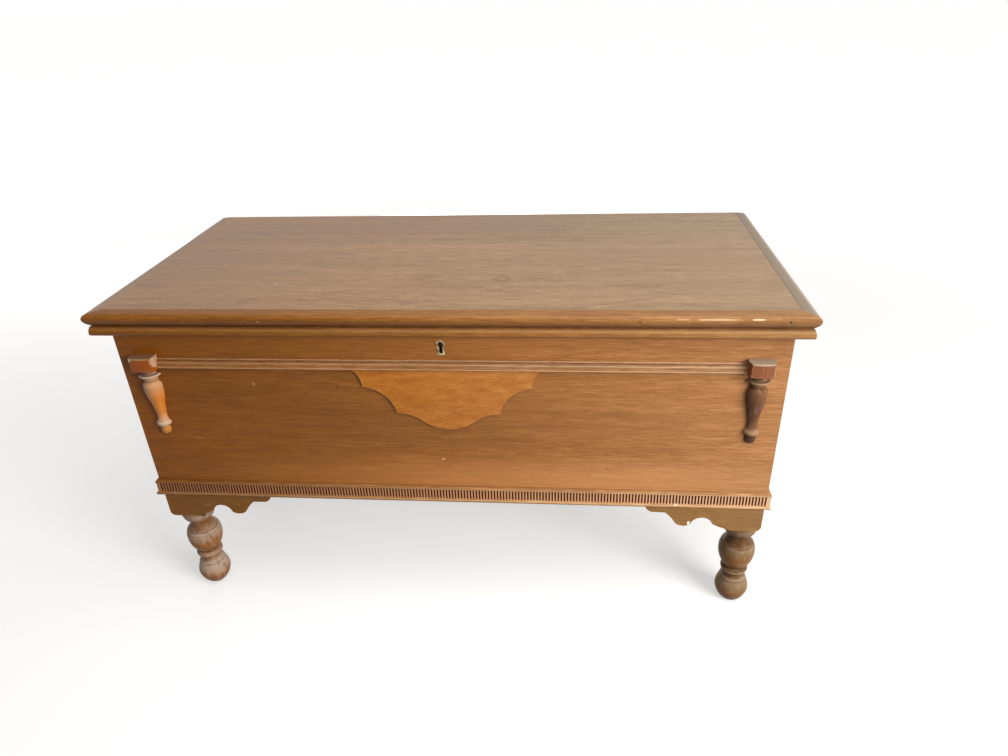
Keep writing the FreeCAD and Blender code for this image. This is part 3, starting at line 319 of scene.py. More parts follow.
def front_marks(tree, place, colour, tone):
    """Painted light low on the front board and along the band under the lid, painted shade left of its middle
    and under the rail, its dings and scratches, and bare cedar inside it.
    """
    colour = add_marks(tree, place, colour, [
        # Painted light: these two golden patches make the lower part of the front paler
        ((30.0, CASE_FRONT, CASE_FOOT + 49.0), (400.0, 60.0, 36.0), "#d8985c", 0.50),
        ((380.0, CASE_FRONT, CASE_FOOT + 61.0), (200.0, 60.0, 30.0), "#cf9558", 0.20),
        # Painted shade darkens the front left of its middle
        ((-100.0, CASE_FRONT, CASE_FOOT + 186.0), (330.0, 70.0, 70.0), "#744c26", 0.35),
        ((250.0, CASE_FRONT, CASE_FOOT + 201.0), (200.0, 60.0, 55.0), "#a0703c", 0.20),
        # Painted light lifts the band under the lid out of its shadow
        ((-130.0, CASE_FRONT, CASE_FOOT + 329.0), (400.0, 60.0, 26.0), "#c88648", 0.40),
    ], ragged=0.1, blur=0.8)
    colour = add_marks(tree, place, colour, [
        ((-331.0, CASE_FRONT, CASE_FOOT + 240.5), (2.2, 4.0, 3.4), "#e0b486", 0.75),
        ((-457.0, CASE_FRONT, CASE_FOOT + 127.5), (9.0, 4.0, 1.6), "#c99a66", 0.6),
        ((-12.0, CASE_FRONT, CASE_FOOT + 91.0), (3.4, 4.0, 2.2), "#f0c490", 0.6),
        ((238.0, CASE_FRONT, CASE_FOOT + 195.0), (1.6, 4.0, 1.4), "#5a2f12", 0.7),
        ((278.0, CASE_FRONT, CASE_FOOT + 77.0), (2.1, 4.0, 1.6), "#5a2f12", 0.75),
        ((377.0, CASE_FRONT, CASE_FOOT + 71.0), (1.5, 4.0, 1.2), "#6a3a18", 0.6),
        ((-185.0, CASE_FRONT, CASE_FOOT + 236.0), (1.8, 4.0, 1.8), "#3c200e", 0.8),
        # Painted shadow along the front under the rail
        ((0.0, CASE_FRONT, RAIL_FOOT - 1.0), (500.0, 4.0, 2.2), "#5a3516", 0.5),
    ])
    return bare_cedar_inside(tree, place, colour, tone)


def nose_marks(tree, place, colour, tone):
    """Painted shade in the quirk, on the nose's lower part and along the bead's foot, a painted highlight
    along the bead, and pale streaks and small chips along the nose.
    """
    # Painted shade under the nose and at the bead's foot, and a painted highlight along the bead
    colour = level_lines(tree, place, colour, [
        (NOSE_FOOT - 1.0, 4.2, "#5a3616", 0.60),
        (NOSE_FOOT + 3.5, 6.0, "#6a3d1a", 0.50),
        (NOSE_FOOT - 6.5, 3.0, "#c79866", 0.35),
        (BEAD_FOOT + 1.0, 4.0, "#5e3717", 0.45),
    ])
    return add_marks(tree, place, colour, [
        ((432.0, NOSE_Y, LID_TOP - 5.7), (32.0, 7.0, 1.2), "#e6c094", 0.60),
        ((492.0, NOSE_Y, LID_TOP - 5.5), (10.0, 7.0, 1.3), "#ecd0aa", 0.7),
        ((380.0, NOSE_Y, LID_TOP - 5.5), (11.0, 7.0, 1.1), "#dcb083", 0.5),
        ((316.0, NOSE_Y, LID_TOP - 9.9), (2.8, 6.0, 2.2), "#6a3a1a", 0.8),
        ((539.0, NOSE_Y, LID_TOP - 9.2), (2.0, 6.0, 1.7), "#2e1a10", 0.95),
        ((-287.0, NOSE_Y, LID_TOP - 12.1), (2.2, 6.0, 2.2), "#e0a670", 0.8),
        ((-412.0, NOSE_Y, LID_TOP - 12.7), (1.8, 6.0, 1.8), "#c89464", 0.7),
    ])


def side_band_painted_sheen(tree, place, colour, tone):
    """Side mouldings of the lid: a band as grey as the lid, with its outer rim painted paler as a reflection,
    and at the right-hand end a darker line along its inner edge."""
    x = node(tree, "SeparateXYZ", {0: place}).outputs[0]
    width = node(tree, "Math", {0: x}, operation="ABSOLUTE")
    outward = node(tree, "MapRange", {"Value": width, "From Min": LID_SIDE, "From Max": LID_EDGE})
    # Painted reflection: the outer rim is painted paler, and on the right-hand end the inner edge is darker
    left_band_painted_sheen = node(tree, "ValToRGB", {0: outward},
                 stops=[(0.02, "#978068"), (0.10, "#9a846c"), (0.55, "#9a836a"), (0.80, "#b7a48c")])
    right_band_painted_sheen = node(tree, "ValToRGB", {0: outward},
                  stops=[(0.02, "#5e4e3a"), (0.12, "#877660"), (0.55, "#867660"), (0.85, "#aa9a84")])
    right = node(tree, "Math", {0: x, 1: 0.0}, operation="GREATER_THAN")
    band = node(tree, "Mix", {0: right, 6: left_band_painted_sheen, 7: right_band_painted_sheen}, data_type="RGBA")
    z = node(tree, "SeparateXYZ", {0: place}).outputs[2]
    on_top = node(tree, "MapRange", {"Value": z, "From Min": LID_TOP - 5.0, "From Max": LID_TOP - 2.0,
                                     "To Max": 0.9})
    return node(tree, "Mix", {0: on_top, 6: colour, 7: band}, data_type="RGBA")


def rail_painted_light_and_wear(tree, place, colour, tone):
    """Pale lines along the rail's arrises, painted highlights over wood worn bare, and painted shade under
    its fillet and along its foot.
    """
    return level_lines(tree, place, colour, [
        (RAIL_TOP - 0.3, 1.3, "#dcb78c", 0.75),
        (RAIL_TOP - 2.6, 1.2, "#6e4526", 0.60),
        (RAIL_TOP - 6.5, 1.5, "#ddbb8e", 0.60),
        (RAIL_FOOT + 2.6, 1.2, "#d9b084", 0.55),
        (RAIL_FOOT, 1.4, "#4c2b14", 0.80),
    ])


def overlay_fleck(tree, place, colour, tone):
    """Curly figure of maple: soft mottles about 40 mm long and 12 mm high, and flecks of 7 by 1.6 mm."""
    layers = []
    for length, height in ((40.0, 12.0), (7.0, 1.6)):
        squeezed = node(tree, "VectorMath", {0: place, 1: (1 / length, 1 / height, 1 / height)},
                        operation="MULTIPLY")
        layers.append(node(tree, "TexNoise", {"Vector": squeezed, "Scale": 1.0, "Detail": 2.0}))
    both = node(tree, "Mix", {0: 0.45, 2: layers[0], 3: layers[1]})
    curl = node(tree, "ValToRGB", {0: both}, stops=[(0.36, "#aa652c"), (0.50, "#c17e3a"), (0.64, "#d3964e")])
    return node(tree, "Mix", {0: 0.6, 6: colour, 7: curl}, data_type="RGBA")


def base_marks(across):
    """Flutes darker red-brown the deeper they are sunk, painted highlights on the bead and lip beside them,
    painted shade at the top cove and bottom edge, and pale nail fillings and a chip on the bead below them.
    """
    def detail(tree, place, colour, tone):
        x, y, z = node(tree, "SeparateXYZ", {0: place}).outputs
        if across == "Y":
            sunk = node(tree, "Math", {0: y, 1: CASE_FRONT - FLUTE_FACE}, operation="SUBTRACT")
        else:
            width = node(tree, "Math", {0: x}, operation="ABSOLUTE")
            sunk = node(tree, "Math", {0: CASE_SIDE + FLUTE_FACE, 1: width}, operation="SUBTRACT")
        above = node(tree, "Math", {0: z, 1: FLUTES_LOW - 0.1}, operation="GREATER_THAN")
        below = node(tree, "Math", {0: z, 1: FLUTES_HIGH + 0.1}, operation="LESS_THAN")
        band = node(tree, "Math", {0: above, 1: below}, operation="MULTIPLY")
        rib = node(tree, "Math", {0: band, 1: 0.75}, operation="MULTIPLY")
        colour = node(tree, "Mix", {0: rib, 6: colour, 7: linear("#e0b488")}, data_type="RGBA")
        stain = node(tree, "MapRange", {"Value": sunk, "From Min": 0.01, "From Max": 0.1 * FLUTE_DEPTH})
        amount = node(tree, "Math", {0: stain, 1: band}, operation="MULTIPLY")
        colour = node(tree, "Mix", {0: amount, 6: colour, 7: linear("#6c2c0a")}, data_type="RGBA")
        # Painted highlights on the bead under the flutes and the lip above them, and painted shade at the
        # bottom edge and the top cove
        colour = level_lines(tree, place, colour, [
            (FLUTES_LOW - 2.2, 1.7, "#e0b98e", 0.6),
            (CASE_FOOT + 0.4, 1.3, "#5a3820", 0.5),
            (FLUTES_HIGH + 1.0, 1.3, "#dab084", 0.6),
            (BASE_TOP - 0.6, 1.2, "#6b4424", 0.5),
        ])
        return add_marks(tree, place, colour, [
            ((-530.0, BASE_Y, CASE_FOOT + 5.0), (2.2, 5.0, 1.8), "#e2c8a4", 0.7),
            ((-361.0, BASE_Y, CASE_FOOT + 3.0), (2.2, 5.0, 1.8), "#e2c8a4", 0.7),
            ((401.0, BASE_Y, CASE_FOOT + 6.6), (3.0, 5.0, 1.6), "#f0d8b8", 0.7),
            ((568.0, BASE_Y, CASE_FOOT + 6.0), (4.0, 8.0, 4.0), "#f2e2c8", 0.9),
        ])
    return detail


def bracket_marks(tree, place, colour, tone):
    """Chipped lobe and a scuff on the front brackets."""
    return add_marks(tree, place, colour, [
        ((428.0, CASE_FRONT, CASE_FOOT - 39.5), (2.6, 6.0, 4.6), "#fff2da", 0.95),
        ((-479.0, CASE_FRONT, CASE_FOOT - 27.5), (9.0, 5.0, 1.8), "#a9865c", 0.6),
        ((556.0, CASE_FRONT, CASE_FOOT - 53.0), (2.0, 6.0, 4.0), "#e6cda6", 0.7),
    ])


def turned_wear_and_painted_light(low, high, rings, tones, grooves, amount, patches):
    """Turned work in rings from low to high, partly worn and partly painted light, with its grooves painted
    dark as shade and its beads pale as highlights. A ring is a place between low and high and the name of its
    tone, and patches is how strongly smaller patches show."""
    stops = [(part, tones[name]) for part, name in rings]

    def detail(tree, place, colour, tone):
        z = node(tree, "SeparateXYZ", {0: place}).outputs[2]
        # A ring's edge wanders by 2.5 mm over about 15 mm
        ragged = node(tree, "TexNoise", {"Vector": place, "Scale": 0.065, "Detail": 4.0})
        wander = node(tree, "MapRange", {"Value": ragged, "From Min": 0.3, "From Max": 0.7, "To Min": -2.5,
                                         "To Max": 2.5})
        moved = node(tree, "Math", {0: z, 1: wander}, operation="ADD")
        along = node(tree, "MapRange", {"Value": moved, "From Min": low, "From Max": high})
        ring = node(tree, "ValToRGB", {0: along}, stops=stops)
        colour = node(tree, "Mix", {0: amount, 6: colour, 7: ring}, data_type="RGBA")
        # Bleached and bruised patches are about 8 mm across and run along the grain
        stretched = node(tree, "VectorMath", {0: place, 1: (0.13, 0.13, 0.05)}, operation="MULTIPLY")
        speck = node(tree, "TexNoise", {"Vector": stretched, "Scale": 1.0, "Detail": 5.0})
        for start, end, code in ((0.52, 0.72, "#dcc6ac"), (0.46, 0.28, "#553219")):
            cover = node(tree, "MapRange", {"Value": speck, "From Min": start, "From Max": end,
                                            "To Max": patches})
            colour = node(tree, "Mix", {0: cover, 6: colour, 7: linear(code)}, data_type="RGBA")
        # Lines of painted shade in the grooves and of painted highlight on the beads
        return level_lines(tree, place, colour, grooves)
    return detail


def drop_wear_and_painted_light(side, block_face, block_top_sheen, tones, chips):
    """Drop: its block has chips, a face of its own and a top painted grey as sheen; the turning under it is
    ringed with wear and painted light and shade.
    """
    turning = turned_wear_and_painted_light(DROP_FOOT, BLOCK_FOOT, DROP_RINGS, tones, DROP_GROOVES, 0.95, 0.12)

    def detail(tree, place, colour, tone):
        turned = turning(tree, place, colour, tone)
        z = node(tree, "SeparateXYZ", {0: place}).outputs[2]
        above = node(tree, "Math", {0: z, 1: BLOCK_FOOT}, operation="GREATER_THAN")
        face = node(tree, "Mix", {0: 0.75, 6: colour, 7: linear(block_face)}, data_type="RGBA")
        colour = node(tree, "Mix", {0: above, 6: turned, 7: face}, data_type="RGBA")
        # Painted sheen: the top face of the block is painted grey
        top = node(tree, "Math", {0: z, 1: BLOCK_TOP - 0.05}, operation="GREATER_THAN")
        cover = node(tree, "Math", {0: top, 1: 0.85}, operation="MULTIPLY")
        colour = node(tree, "Mix", {0: cover, 6: colour, 7: linear(block_top_sheen)}, data_type="RGBA")
        placed = [((side * DROP_X + x, y, z), size, code, much) for (x, y, z), size, code, much in chips]
        return add_marks(tree, place, colour, placed)
    return detail


# ---------------------------------------------------------------- metal

def worn_metal(name, code, dull_code, roughness, grit):
    """Metal dulled in patches of about 8 mm; grit is the size of its fine marks in millimetres."""
    material, tree = new_material(name)
    place = place_on_piece(tree)
    patch = node(tree, "TexNoise", {"Vector": place, "Scale": 0.12, "Detail": 4.0})
    colour = node(tree, "ValToRGB", {0: patch}, stops=[(0.40, code), (0.62, dull_code)])
    fine = node(tree, "TexNoise", {"Vector": place, "Scale": 1 / grit, "Detail": 2.0})
    dull = node(tree, "MapRange", {"Value": fine, "To Min": roughness - 0.1, "To Max": roughness + 0.1})
    relief = node(tree, "Bump", {"Strength": 0.15, "Distance": 0.1 * MM, "Height": fine})
    shader = node(tree, "BsdfPrincipled", {"Base Color": colour, "Metallic": 1.0, "Roughness": dull,
                                           "Normal": relief})
    node(tree, "OutputMaterial", {"Surface": shader})
    return material


# ---------------------------------------------------------------- finishes of this chest

def board_tones(dark, middle, pale):
    """Colours of a board's dark pores, ground and pale figure, at their places in the grain's tone."""
    return [(0.36, dark), (0.50, middle), (0.62, pale)]


FRONT_TONES = board_tones("#935e2d", "#a86f38", "#b98048")
MOULDING_TONES = board_tones("#835424", "#976630", "#a87940")
BASE_TONES = board_tones("#8c6034", "#aa7a48", "#c19360")
DROP_TONES = board_tones("#7c420e", "#9f5c18", "#bb7832")

# Rings of wear and painted light up a leg: a part of its turned height, and the state of the finish there.
# Hollows keep their dark varnish and are painted darker as shade, dirt gathers beside the beads, and the
# proud rounds are rubbed bare and painted paler as highlights.
LEG_RINGS = [
    (0.07, "dark"), (0.15, "varnished"), (0.20, "worn"), (0.26, "bare"), (0.31, "bare"), (0.36, "dirty"),
    (0.39, "worn"), (0.44, "dirty"), (0.47, "dark"), (0.53, "varnished"), (0.61, "varnished"),
    (0.67, "worn"), (0.73, "bare"), (0.76, "dirty"), (0.82, "dark"), (0.86, "dark"), (0.89, "dirty"),
    (0.94, "bare"), (0.99, "dirty"),
]
BLEACHED_LEG = {"dark": "#986b43", "varnished": "#bd8854", "dirty": "#bd9a77", "worn": "#d7b89c",
                "bare": "#e2cab2"}
BROWN_LEG = {"dark": "#573513", "varnished": "#895319", "dirty": "#664522", "worn": "#84633d",
             "bare": "#8c7354"}
# Grooves painted dark as shade and arrises painted pale as highlights on a leg: height above the floor, half
# width, colour and cover
LEG_GROOVES = [
    (57.8, 1.9, "#5a3a1c", 0.65), (62.4, 1.4, "#d2bca0", 0.40), (73.6, 1.3, "#5a3a20", 0.60),
    (82.0, 1.6, "#dac2a6", 0.45), (89.6, 1.8, "#4e3016", 0.75), (139.0, 0.8, "#6a4a30", 0.50),
    (145.8, 1.5, "#6a4828", 0.40), (171.6, 1.4, "#543c24", 0.60),
]

# The same for a drop's turning, from its tip to its block, whose grooves are measured from the block's top.
# Its dark ring at the neck is painted shade.
DROP_RINGS = [
    (0.12, "tip"), (0.15, "bare"), (0.20, "bare"), (0.24, "worn"), (0.37, "varnished"),
    (0.61, "varnished"), (0.75, "worn"), (0.84, "worn"), (0.88, "bare"), (0.93, "bare"), (0.95, "dark"),
]
ORANGE_DROP = {"tip": "#e2a460", "varnished": "#eea660", "worn": "#e4b68a", "bare": "#e3c8a8",
               "dark": "#835f40"}
BROWN_DROP = {"tip": "#42250c", "varnished": "#5b2e09", "worn": "#6f4722", "bare": "#987550",
              "dark": "#36200a"}
# The drop's grooves are painted shade in its coves, and the highest one a painted shadow just under its block
DROP_GROOVES = [
    (BLOCK_TOP - 140.8, 1.3, "#452a15", 0.80), (BLOCK_TOP - 129.8, 0.8, "#5a3a22", 0.50),
    (BLOCK_TOP - 49.0, 0.8, "#573824", 0.50), (BLOCK_TOP - 41.6, 1.8, "#4c301d", 0.70),
    (BLOCK_TOP - 34.8, 0.9, "#3f2816", 0.70), (BLOCK_TOP - 25.1, 1.0, "#38220f", 0.80),
]

# Chips of a drop: offset from its axis, y and height, then half sizes, colour and cover
LEFT_DROP_CHIPS = [
    ((23.0, DROP_Y + 5.5, BLOCK_TOP - 8.0), (4.6, 30.0, 12.0), "#e2c8a8", 0.75),
    ((-18.0, DROP_Y + 1.5, BLOCK_TOP - 2.5), (3.6, 3.0, 3.4), "#f4e6d2", 0.90),
    ((0.0, DROP_Y + 0.5, BLOCK_TOP - 0.4), (19.0, 2.2, 1.3), "#d8bfa2", 0.60),
    ((12.0, DROP_Y + 6.0, BLOCK_TOP - 21.0), (3.0, 12.0, 1.5), "#d09a62", 0.60),
]
RIGHT_DROP_CHIPS = [
    ((0.0, DROP_Y + 0.5, BLOCK_TOP - 0.8), (20.0, 2.2, 1.5), "#cdb496", 0.70),
    ((18.2, DROP_Y + 1.5, BLOCK_TOP - 13.0), (1.4, 2.2, 12.0), "#c9a27e", 0.60),
]


# Gumwood, sawn flat, planed and brushed with varnish, which has gone pale on top. Its grey is partly painted
# sheen:
# the eye sees a grey-brown satin sheet with a fine straight grain and few marks.
lid_wood = varnished_wood(
    "lid_gumwood_varnished", "X", board_tones("#86643f", "#a2805a", "#b7976f"), 7, 1, ("#c9ae8e", 0.3),
    roughness=0.40, painted_shade_ends=(0.95, 0.95), detail=lid_marks)

# The same wood upright, browner than the lid: warm red-brown at the left-hand end, which turns golden towards
# the right. That change along it is painted shade, as the light falls from the right.
front_wood = varnished_wood(
    "front_gumwood_varnished", "X", FRONT_TONES, 8, 2, ("#c08e5c", 0.5), painted_shade_ends=(0.66, 1.02),
    detail=front_marks)
side_wood = varnished_wood(
    "side_gumwood_varnished", "Y", FRONT_TONES, 8, 3, ("#c08e5c", 0.5), detail=bare_cedar_inside)
back_wood = varnished_wood(
    "back_gumwood_varnished", "X", FRONT_TONES, 8, 4, ("#b08050", 0.4), detail=bare_cedar_inside)

# Red cedar, planed and left bare: pinkish and dull, with no gloss at all
floor_wood = varnished_wood(
    "floor_cedar_planed", "X", board_tones("#a5653f", "#bb7d53", "#cf9b70"), 12, 5, ("#d0a078", 0.2),
    roughness=0.6)

# Moulded gumwood under thicker varnish: darker than the boards, with painted shade in its hollows and a
# painted highlight along its bead, and its rounds rubbed pale. The side mouldings have gone pale as the lid
# has, with the same painted sheen and a painted reflection on their rims.
nose_wood = varnished_wood(
    "lid_nosing_varnished", "X", MOULDING_TONES, 4, 6, ("#d2a06c", 0.4), painted_shade_ends=(0.70, 1.0),
    detail=nose_marks)
rim_wood = varnished_wood(
    "lid_side_nosing_varnished", "Y", MOULDING_TONES, 4, 7, ("#c8b498", 0.5), painted_shade_ends=(0.95, 0.95),
    detail=side_band_painted_sheen)

# Fluted gumwood: the flutes are darker red-brown, and the pale worn ribs between them look nearly matt; the
# bead and lip beside them get painted highlights, and the top cove and bottom edge painted shade
base_wood = varnished_wood(
    "base_moulding_varnished", "X", BASE_TONES, 4, 8, ("#d8b088", 0.1), gloss=0.15, painted_shade_ends=(0.56, 1.08),
    detail=base_marks("Y"))
base_side_wood = varnished_wood(
    "base_side_moulding_varnished", "Y", BASE_TONES, 4, 9, ("#d8b088", 0.1), gloss=0.15,
    detail=base_marks("X"))

# Thin moulded rail: pale lines across the front along its arrises are painted highlights over wood worn bare,
# with painted shade in its cove and under it
rail_wood = varnished_wood(
    "rail_moulding_varnished", "X", board_tones("#845a35", "#a07145", "#b2865c"), 4, 10, ("#dcb690", 0.6),
    painted_shade_ends=(0.84, 0.96), detail=rail_painted_light_and_wear)

# Curly maple under amber varnish: the most golden and glossy piece, with a soft mottle and hardly a pore
maple = varnished_wood(
    "overlay_maple_golden_varnish", "X", board_tones("#ae6a2a", "#bf7c36", "#cc8b45"), 5, 11,
    ("#dcac72", 0.8), roughness=0.38, detail=overlay_fleck)

# Sawn and varnished gumwood, yellower than the front and chipped to pale wood at its lobes
bracket_wood = varnished_wood(
    "bracket_gumwood_varnished", "X", board_tones("#855a28", "#966a33", "#a67a43"), 6, 12,
    ("#c49a66", 0.5), painted_shade_ends=(0.72, 0.98), detail=bracket_marks)

# Turned gumwood: rings of dirt and wear, with painted light and shade, follow the turning. The right-hand
# legs keep their brown varnish, and the left-hand ones are bleached nearly bare.
leg_wood = varnished_wood(
    "leg_gumwood_turned", "Z", board_tones("#6e4820", "#866030", "#a07848"), 5, 13, ("#cdb398", 0.4),
    gloss=0.15, detail=turned_wear_and_painted_light(0.0, TURNED_TOP, LEG_RINGS, BROWN_LEG, LEG_GROOVES, 0.9, 0.12))
bleached_leg_wood = varnished_wood(
    "leg_gumwood_turned_bleached", "Z", board_tones("#8d6c4c", "#a98866", "#bb9f80"), 5, 16,
    ("#d8c4ae", 0.5), gloss=0.15,
    detail=turned_wear_and_painted_light(0.0, TURNED_TOP, LEG_RINGS, BLEACHED_LEG, LEG_GROOVES, 0.78, 0.5))

# Turned drops have the glossiest varnish, with small bright lights on their bellies: the left-hand one has
# gone orange, its brightness partly painted light, and the right-hand one is dark brown, partly painted shade
left_drop_wood = varnished_wood(
    "drop_gumwood_turned_bleached", "Z", DROP_TONES, 5, 14, ("#dcc0a2", 0.6), roughness=0.33, gloss=0.3,
    detail=drop_wear_and_painted_light(-1, "#b5682c", "#9c8064", ORANGE_DROP, LEFT_DROP_CHIPS))
right_drop_wood = varnished_wood(
    "drop_gumwood_turned", "Z", DROP_TONES, 5, 17, ("#c8a684", 0.6), roughness=0.30, gloss=0.22,
    detail=drop_wear_and_painted_light(1, "#804624", "#a99a86", BROWN_DROP, RIGHT_DROP_CHIPS))

# Corner blocks straight from the saw, with stain and no polish: dark and dull
block_wood = varnished_wood(
    "corner_block_sawn", "X", board_tones("#5e3f26", "#755234", "#896444"), 8, 15, ("#8a6844", 0.3),
    roughness=0.65)

# Cast brass lining of the keyhole: a soft yellow shine that has gone brown in patches
brass = worn_metal("keyhole_brass_tarnished", "#c2ad84", "#6a5838", 0.35, 1.2)
# Stamped steel of the lock: grey, with the dull film of age
lock_steel = worn_metal("lock_steel_stamped", "#8f8a80", "#5f5a52", 0.42, 0.8)
# Rolled steel of the hinges and stay, and turned steel screws, all brass-plated: pale gold, worn to grey
hinge_steel = worn_metal("hinge_steel_brass_plated", "#a08a55", "#7a6a4a", 0.38, 0.8)
screw_steel = worn_metal("screw_steel_brass_plated", "#a8925c", "#6f6048", 0.40, 0.6)

FINISHES = {
    lid_wood: ["lid_panel"],
    front_wood: ["front_panel"],
    side_wood: ["left_side_panel", "right_side_panel"],
    back_wood: ["back_panel"],
    floor_wood: ["bottom_panel"],
    nose_wood: ["lid_front_moulding"],
    rim_wood: ["lid_left_moulding", "lid_right_moulding"],
    base_wood: ["front_base_moulding"],
    base_side_wood: ["left_base_moulding", "right_base_moulding"],
    rail_wood: ["rail_moulding"],
    maple: ["front_overlay"],
    bracket_wood: ["left_bracket", "right_bracket"],
    leg_wood: ["front_right_leg", "rear_right_leg"],
    bleached_leg_wood: ["front_left_leg", "rear_left_leg"],
    left_drop_wood: ["left_drop"],
    right_drop_wood: ["right_drop"],
    block_wood: ["front_left_corner_block", "front_right_corner_block", "rear_left_corner_block",
                 "rear_right_corner_block"],
    brass: ["keyhole_escutcheon"],
    lock_steel: ["lock_plate", "lock_cap", "lock_pin", "lock_bolt", "lock_spring", "link_plate"],
    hinge_steel: [side + part for side in ("left_", "middle_", "right_")
                  for part in ("hinge_case_leaf", "hinge_lid_leaf", "hinge_pin")]
                 + ["stay_plate", "stay_arm", "stay_bracket", "stay_stud", "stay_rivet"],
}
for finish, names in FINISHES.items():
    for name in names:
        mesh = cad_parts[name].data
        mesh.materials.clear()
        mesh.materials.append(finish)


# ---------------------------------------------------------------- screws in the metal plates

SLOT_HALF = 0.5      # half the width of a screw's slot
SLOT_REACH = 0.82    # its half length, as a part of the head's radius
SLOT_DEPTH = 0.45    # as a part of the head's depth
HEAD_UNDER = 0.05    # a head lies this far under its plate's surface
HEAD_TAPER = 0.6     # narrow end of a countersunk head, as a part of its radius


def add_screw_head(heads, point, way, radius, depth):
    """Adds to heads a countersunk head with a slot, flush with a plate; way points out of the plate."""
    shape = bmesh.new()
    bmesh.ops.create_cone(shape, cap_ends=True, segments=24, radius1=radius * HEAD_TAPER, radius2=radius,
                          depth=depth)
    reach = radius * SLOT_REACH
    for axis, limit in (((0, 1, 0), SLOT_HALF), ((1, 0, 0), reach)):
        for sign in (-1, 1):
            whole = shape.verts[:] + shape.edges[:] + shape.faces[:]
            bmesh.ops.bisect_plane(shape, geom=whole, plane_co=Vector(axis) * limit * sign, plane_no=axis)
    slot_faces = []
    for face in shape.faces:
        middle = face.calc_center_median()
        if face.normal.z > 0.9 and abs(middle.x) < reach and abs(middle.y) < SLOT_HALF:
            slot_faces.append(face)
    sunk = bmesh.ops.extrude_face_region(shape, geom=slot_faces)
    corners = [item for item in sunk["geom"] if isinstance(item, bmesh.types.BMVert)]
    bmesh.ops.translate(shape, verts=corners, vec=(0, 0, -SLOT_DEPTH * depth))
    bmesh.ops.delete(shape, geom=slot_faces, context="FACES")
    turn = Vector((0, 0, 1)).rotation_difference(Vector(way)).to_matrix().to_4x4()
    seat = Matrix.Translation(Vector(point) - Vector(way) * (depth / 2 + HEAD_UNDER))
    bmesh.ops.transform(shape, verts=shape.verts, matrix=Matrix.Scale(MM, 4) @ seat @ turn)
    spare = bpy.data.meshes.new("spare")
    shape.to_mesh(spare)
    heads.from_mesh(spare)
    shape.free()
    bpy.data.meshes.remove(spare)


def screw_group(name, body, screws):
    """One object for the screw heads of a plate, riding on its body. A screw is the middle of its head, the
    way it points out, its radius and its depth."""
    shape = bmesh.new()
    for point, way, radius, depth in screws:
        add_screw_head(shape, point, way, radius, depth)
    mesh = bpy.data.meshes.new(name)
    shape.to_mesh(mesh)
    shape.free()
    mesh.materials.append(screw_steel)
    group = bpy.data.objects.new(name, mesh)
    bpy.context.collection.objects.link(group)
    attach(group, body)


UP = (0, 0, 1)
DOWN = (0, 0, -1)
BACKWARD = (0, 1, 0)
LEFTWARD = (-1, 0, 0)
SCREW_EDGE = 5.0     # from a plate's edge to the middle of a screw
HINGE_HEAD = 3.5     # radius of the hinges' screw heads
PLATE_HEAD = 2.8     # radius of all the other ones
HEAD_DEPTH = 1.8
HINGE_LEAF = 16.0    # width of a hinge leaf

for side in ("left", "middle", "right"):
    low, high = box_mm(side + "_hinge_case_leaf")
    step = (high.x - low.x) / 2 - 2 * SCREW_EDGE
    middle = (high.x + low.x) / 2
    row_y = CASE_BACK - HINGE_LEAF / 2
    for body, height, way in (("case", CASE_TOP, UP), ("lid", LID_FOOT, DOWN)):
        screw_group(f"{side}_{body}_hinge_screws", body,
                    [((middle + place * step, row_y, height), way, HINGE_HEAD, HEAD_DEPTH)
                     for place in (-1, 0, 1)])

# The lock's plate has two screws in its top edge, which is let into the front, and four in its face
SELVEDGE = 12.5
SELVEDGE_THICK = 2.0
plate_low, plate_high = box_mm("lock_plate")
plate_x = plate_high.x - SCREW_EDGE
lock_heads = [((way * plate_x, INNER_FRONT - SELVEDGE / 2, CASE_TOP), UP, PLATE_HEAD, HEAD_DEPTH)
              for way in (-1, 1)]
for height in (CASE_TOP - SELVEDGE_THICK - 2 * SCREW_EDGE, plate_low.z + SCREW_EDGE):
    lock_heads += [((way * plate_x, INNER_FRONT, height), BACKWARD, PLATE_HEAD, 1.5) for way in (-1, 1)]
screw_group("lock_screws", "case", lock_heads)

link_low, link_high = box_mm("link_plate")
link_x = link_high.x - SCREW_EDGE
link_y = (link_low.y + link_high.y) / 2
screw_group("link_plate_screws", "lid",
            [((way * link_x, link_y, LID_FOOT), DOWN, PLATE_HEAD, HEAD_DEPTH) for way in (-1, 1)])

stay_low, stay_high = box_mm("stay_plate")
stay_y = (stay_low.y + stay_high.y) / 2
screw_group("stay_plate_screws", "case",
            [((stay_low.x, stay_y, height), LEFTWARD, PLATE_HEAD, 2.2)
             for height in (stay_low.z + SCREW_EDGE, stay_high.z - SCREW_EDGE)])

# The stay's bracket is an angle: its flat ear lies under the lid, inward of its upright one
EAR_THICK = 2.4
EAR_WIDTH = 30.0
ear_low, ear_high = box_mm("stay_bracket")
ear_x = ear_high.x - EAR_THICK - EAR_WIDTH / 2
ear_y = (ear_low.y + ear_high.y) / 2
ear_step = (ear_high.y - ear_low.y) / 2 - SCREW_EDGE
screw_group("stay_bracket_screws", "lid",
            [((ear_x, ear_y + way * ear_step, LID_FOOT - EAR_THICK), DOWN, PLATE_HEAD, 2.1)
             for way in (-1, 0, 1)])


# ---------------------------------------------------------------- floor, light and camera

def seen_directly(tree):
    """1 where the camera, or a mirror or glass, looks, and 0 for the light that falls on things."""
    path = node(tree, "LightPath").outputs
    seen = node(tree, "Math", {0: path["Is Camera Ray"], 1: path["Is Glossy Ray"]}, operation="MAXIMUM")
    return node(tree, "Math", {0: seen, 1: path["Is Transmission Ray"]}, operation="MAXIMUM")


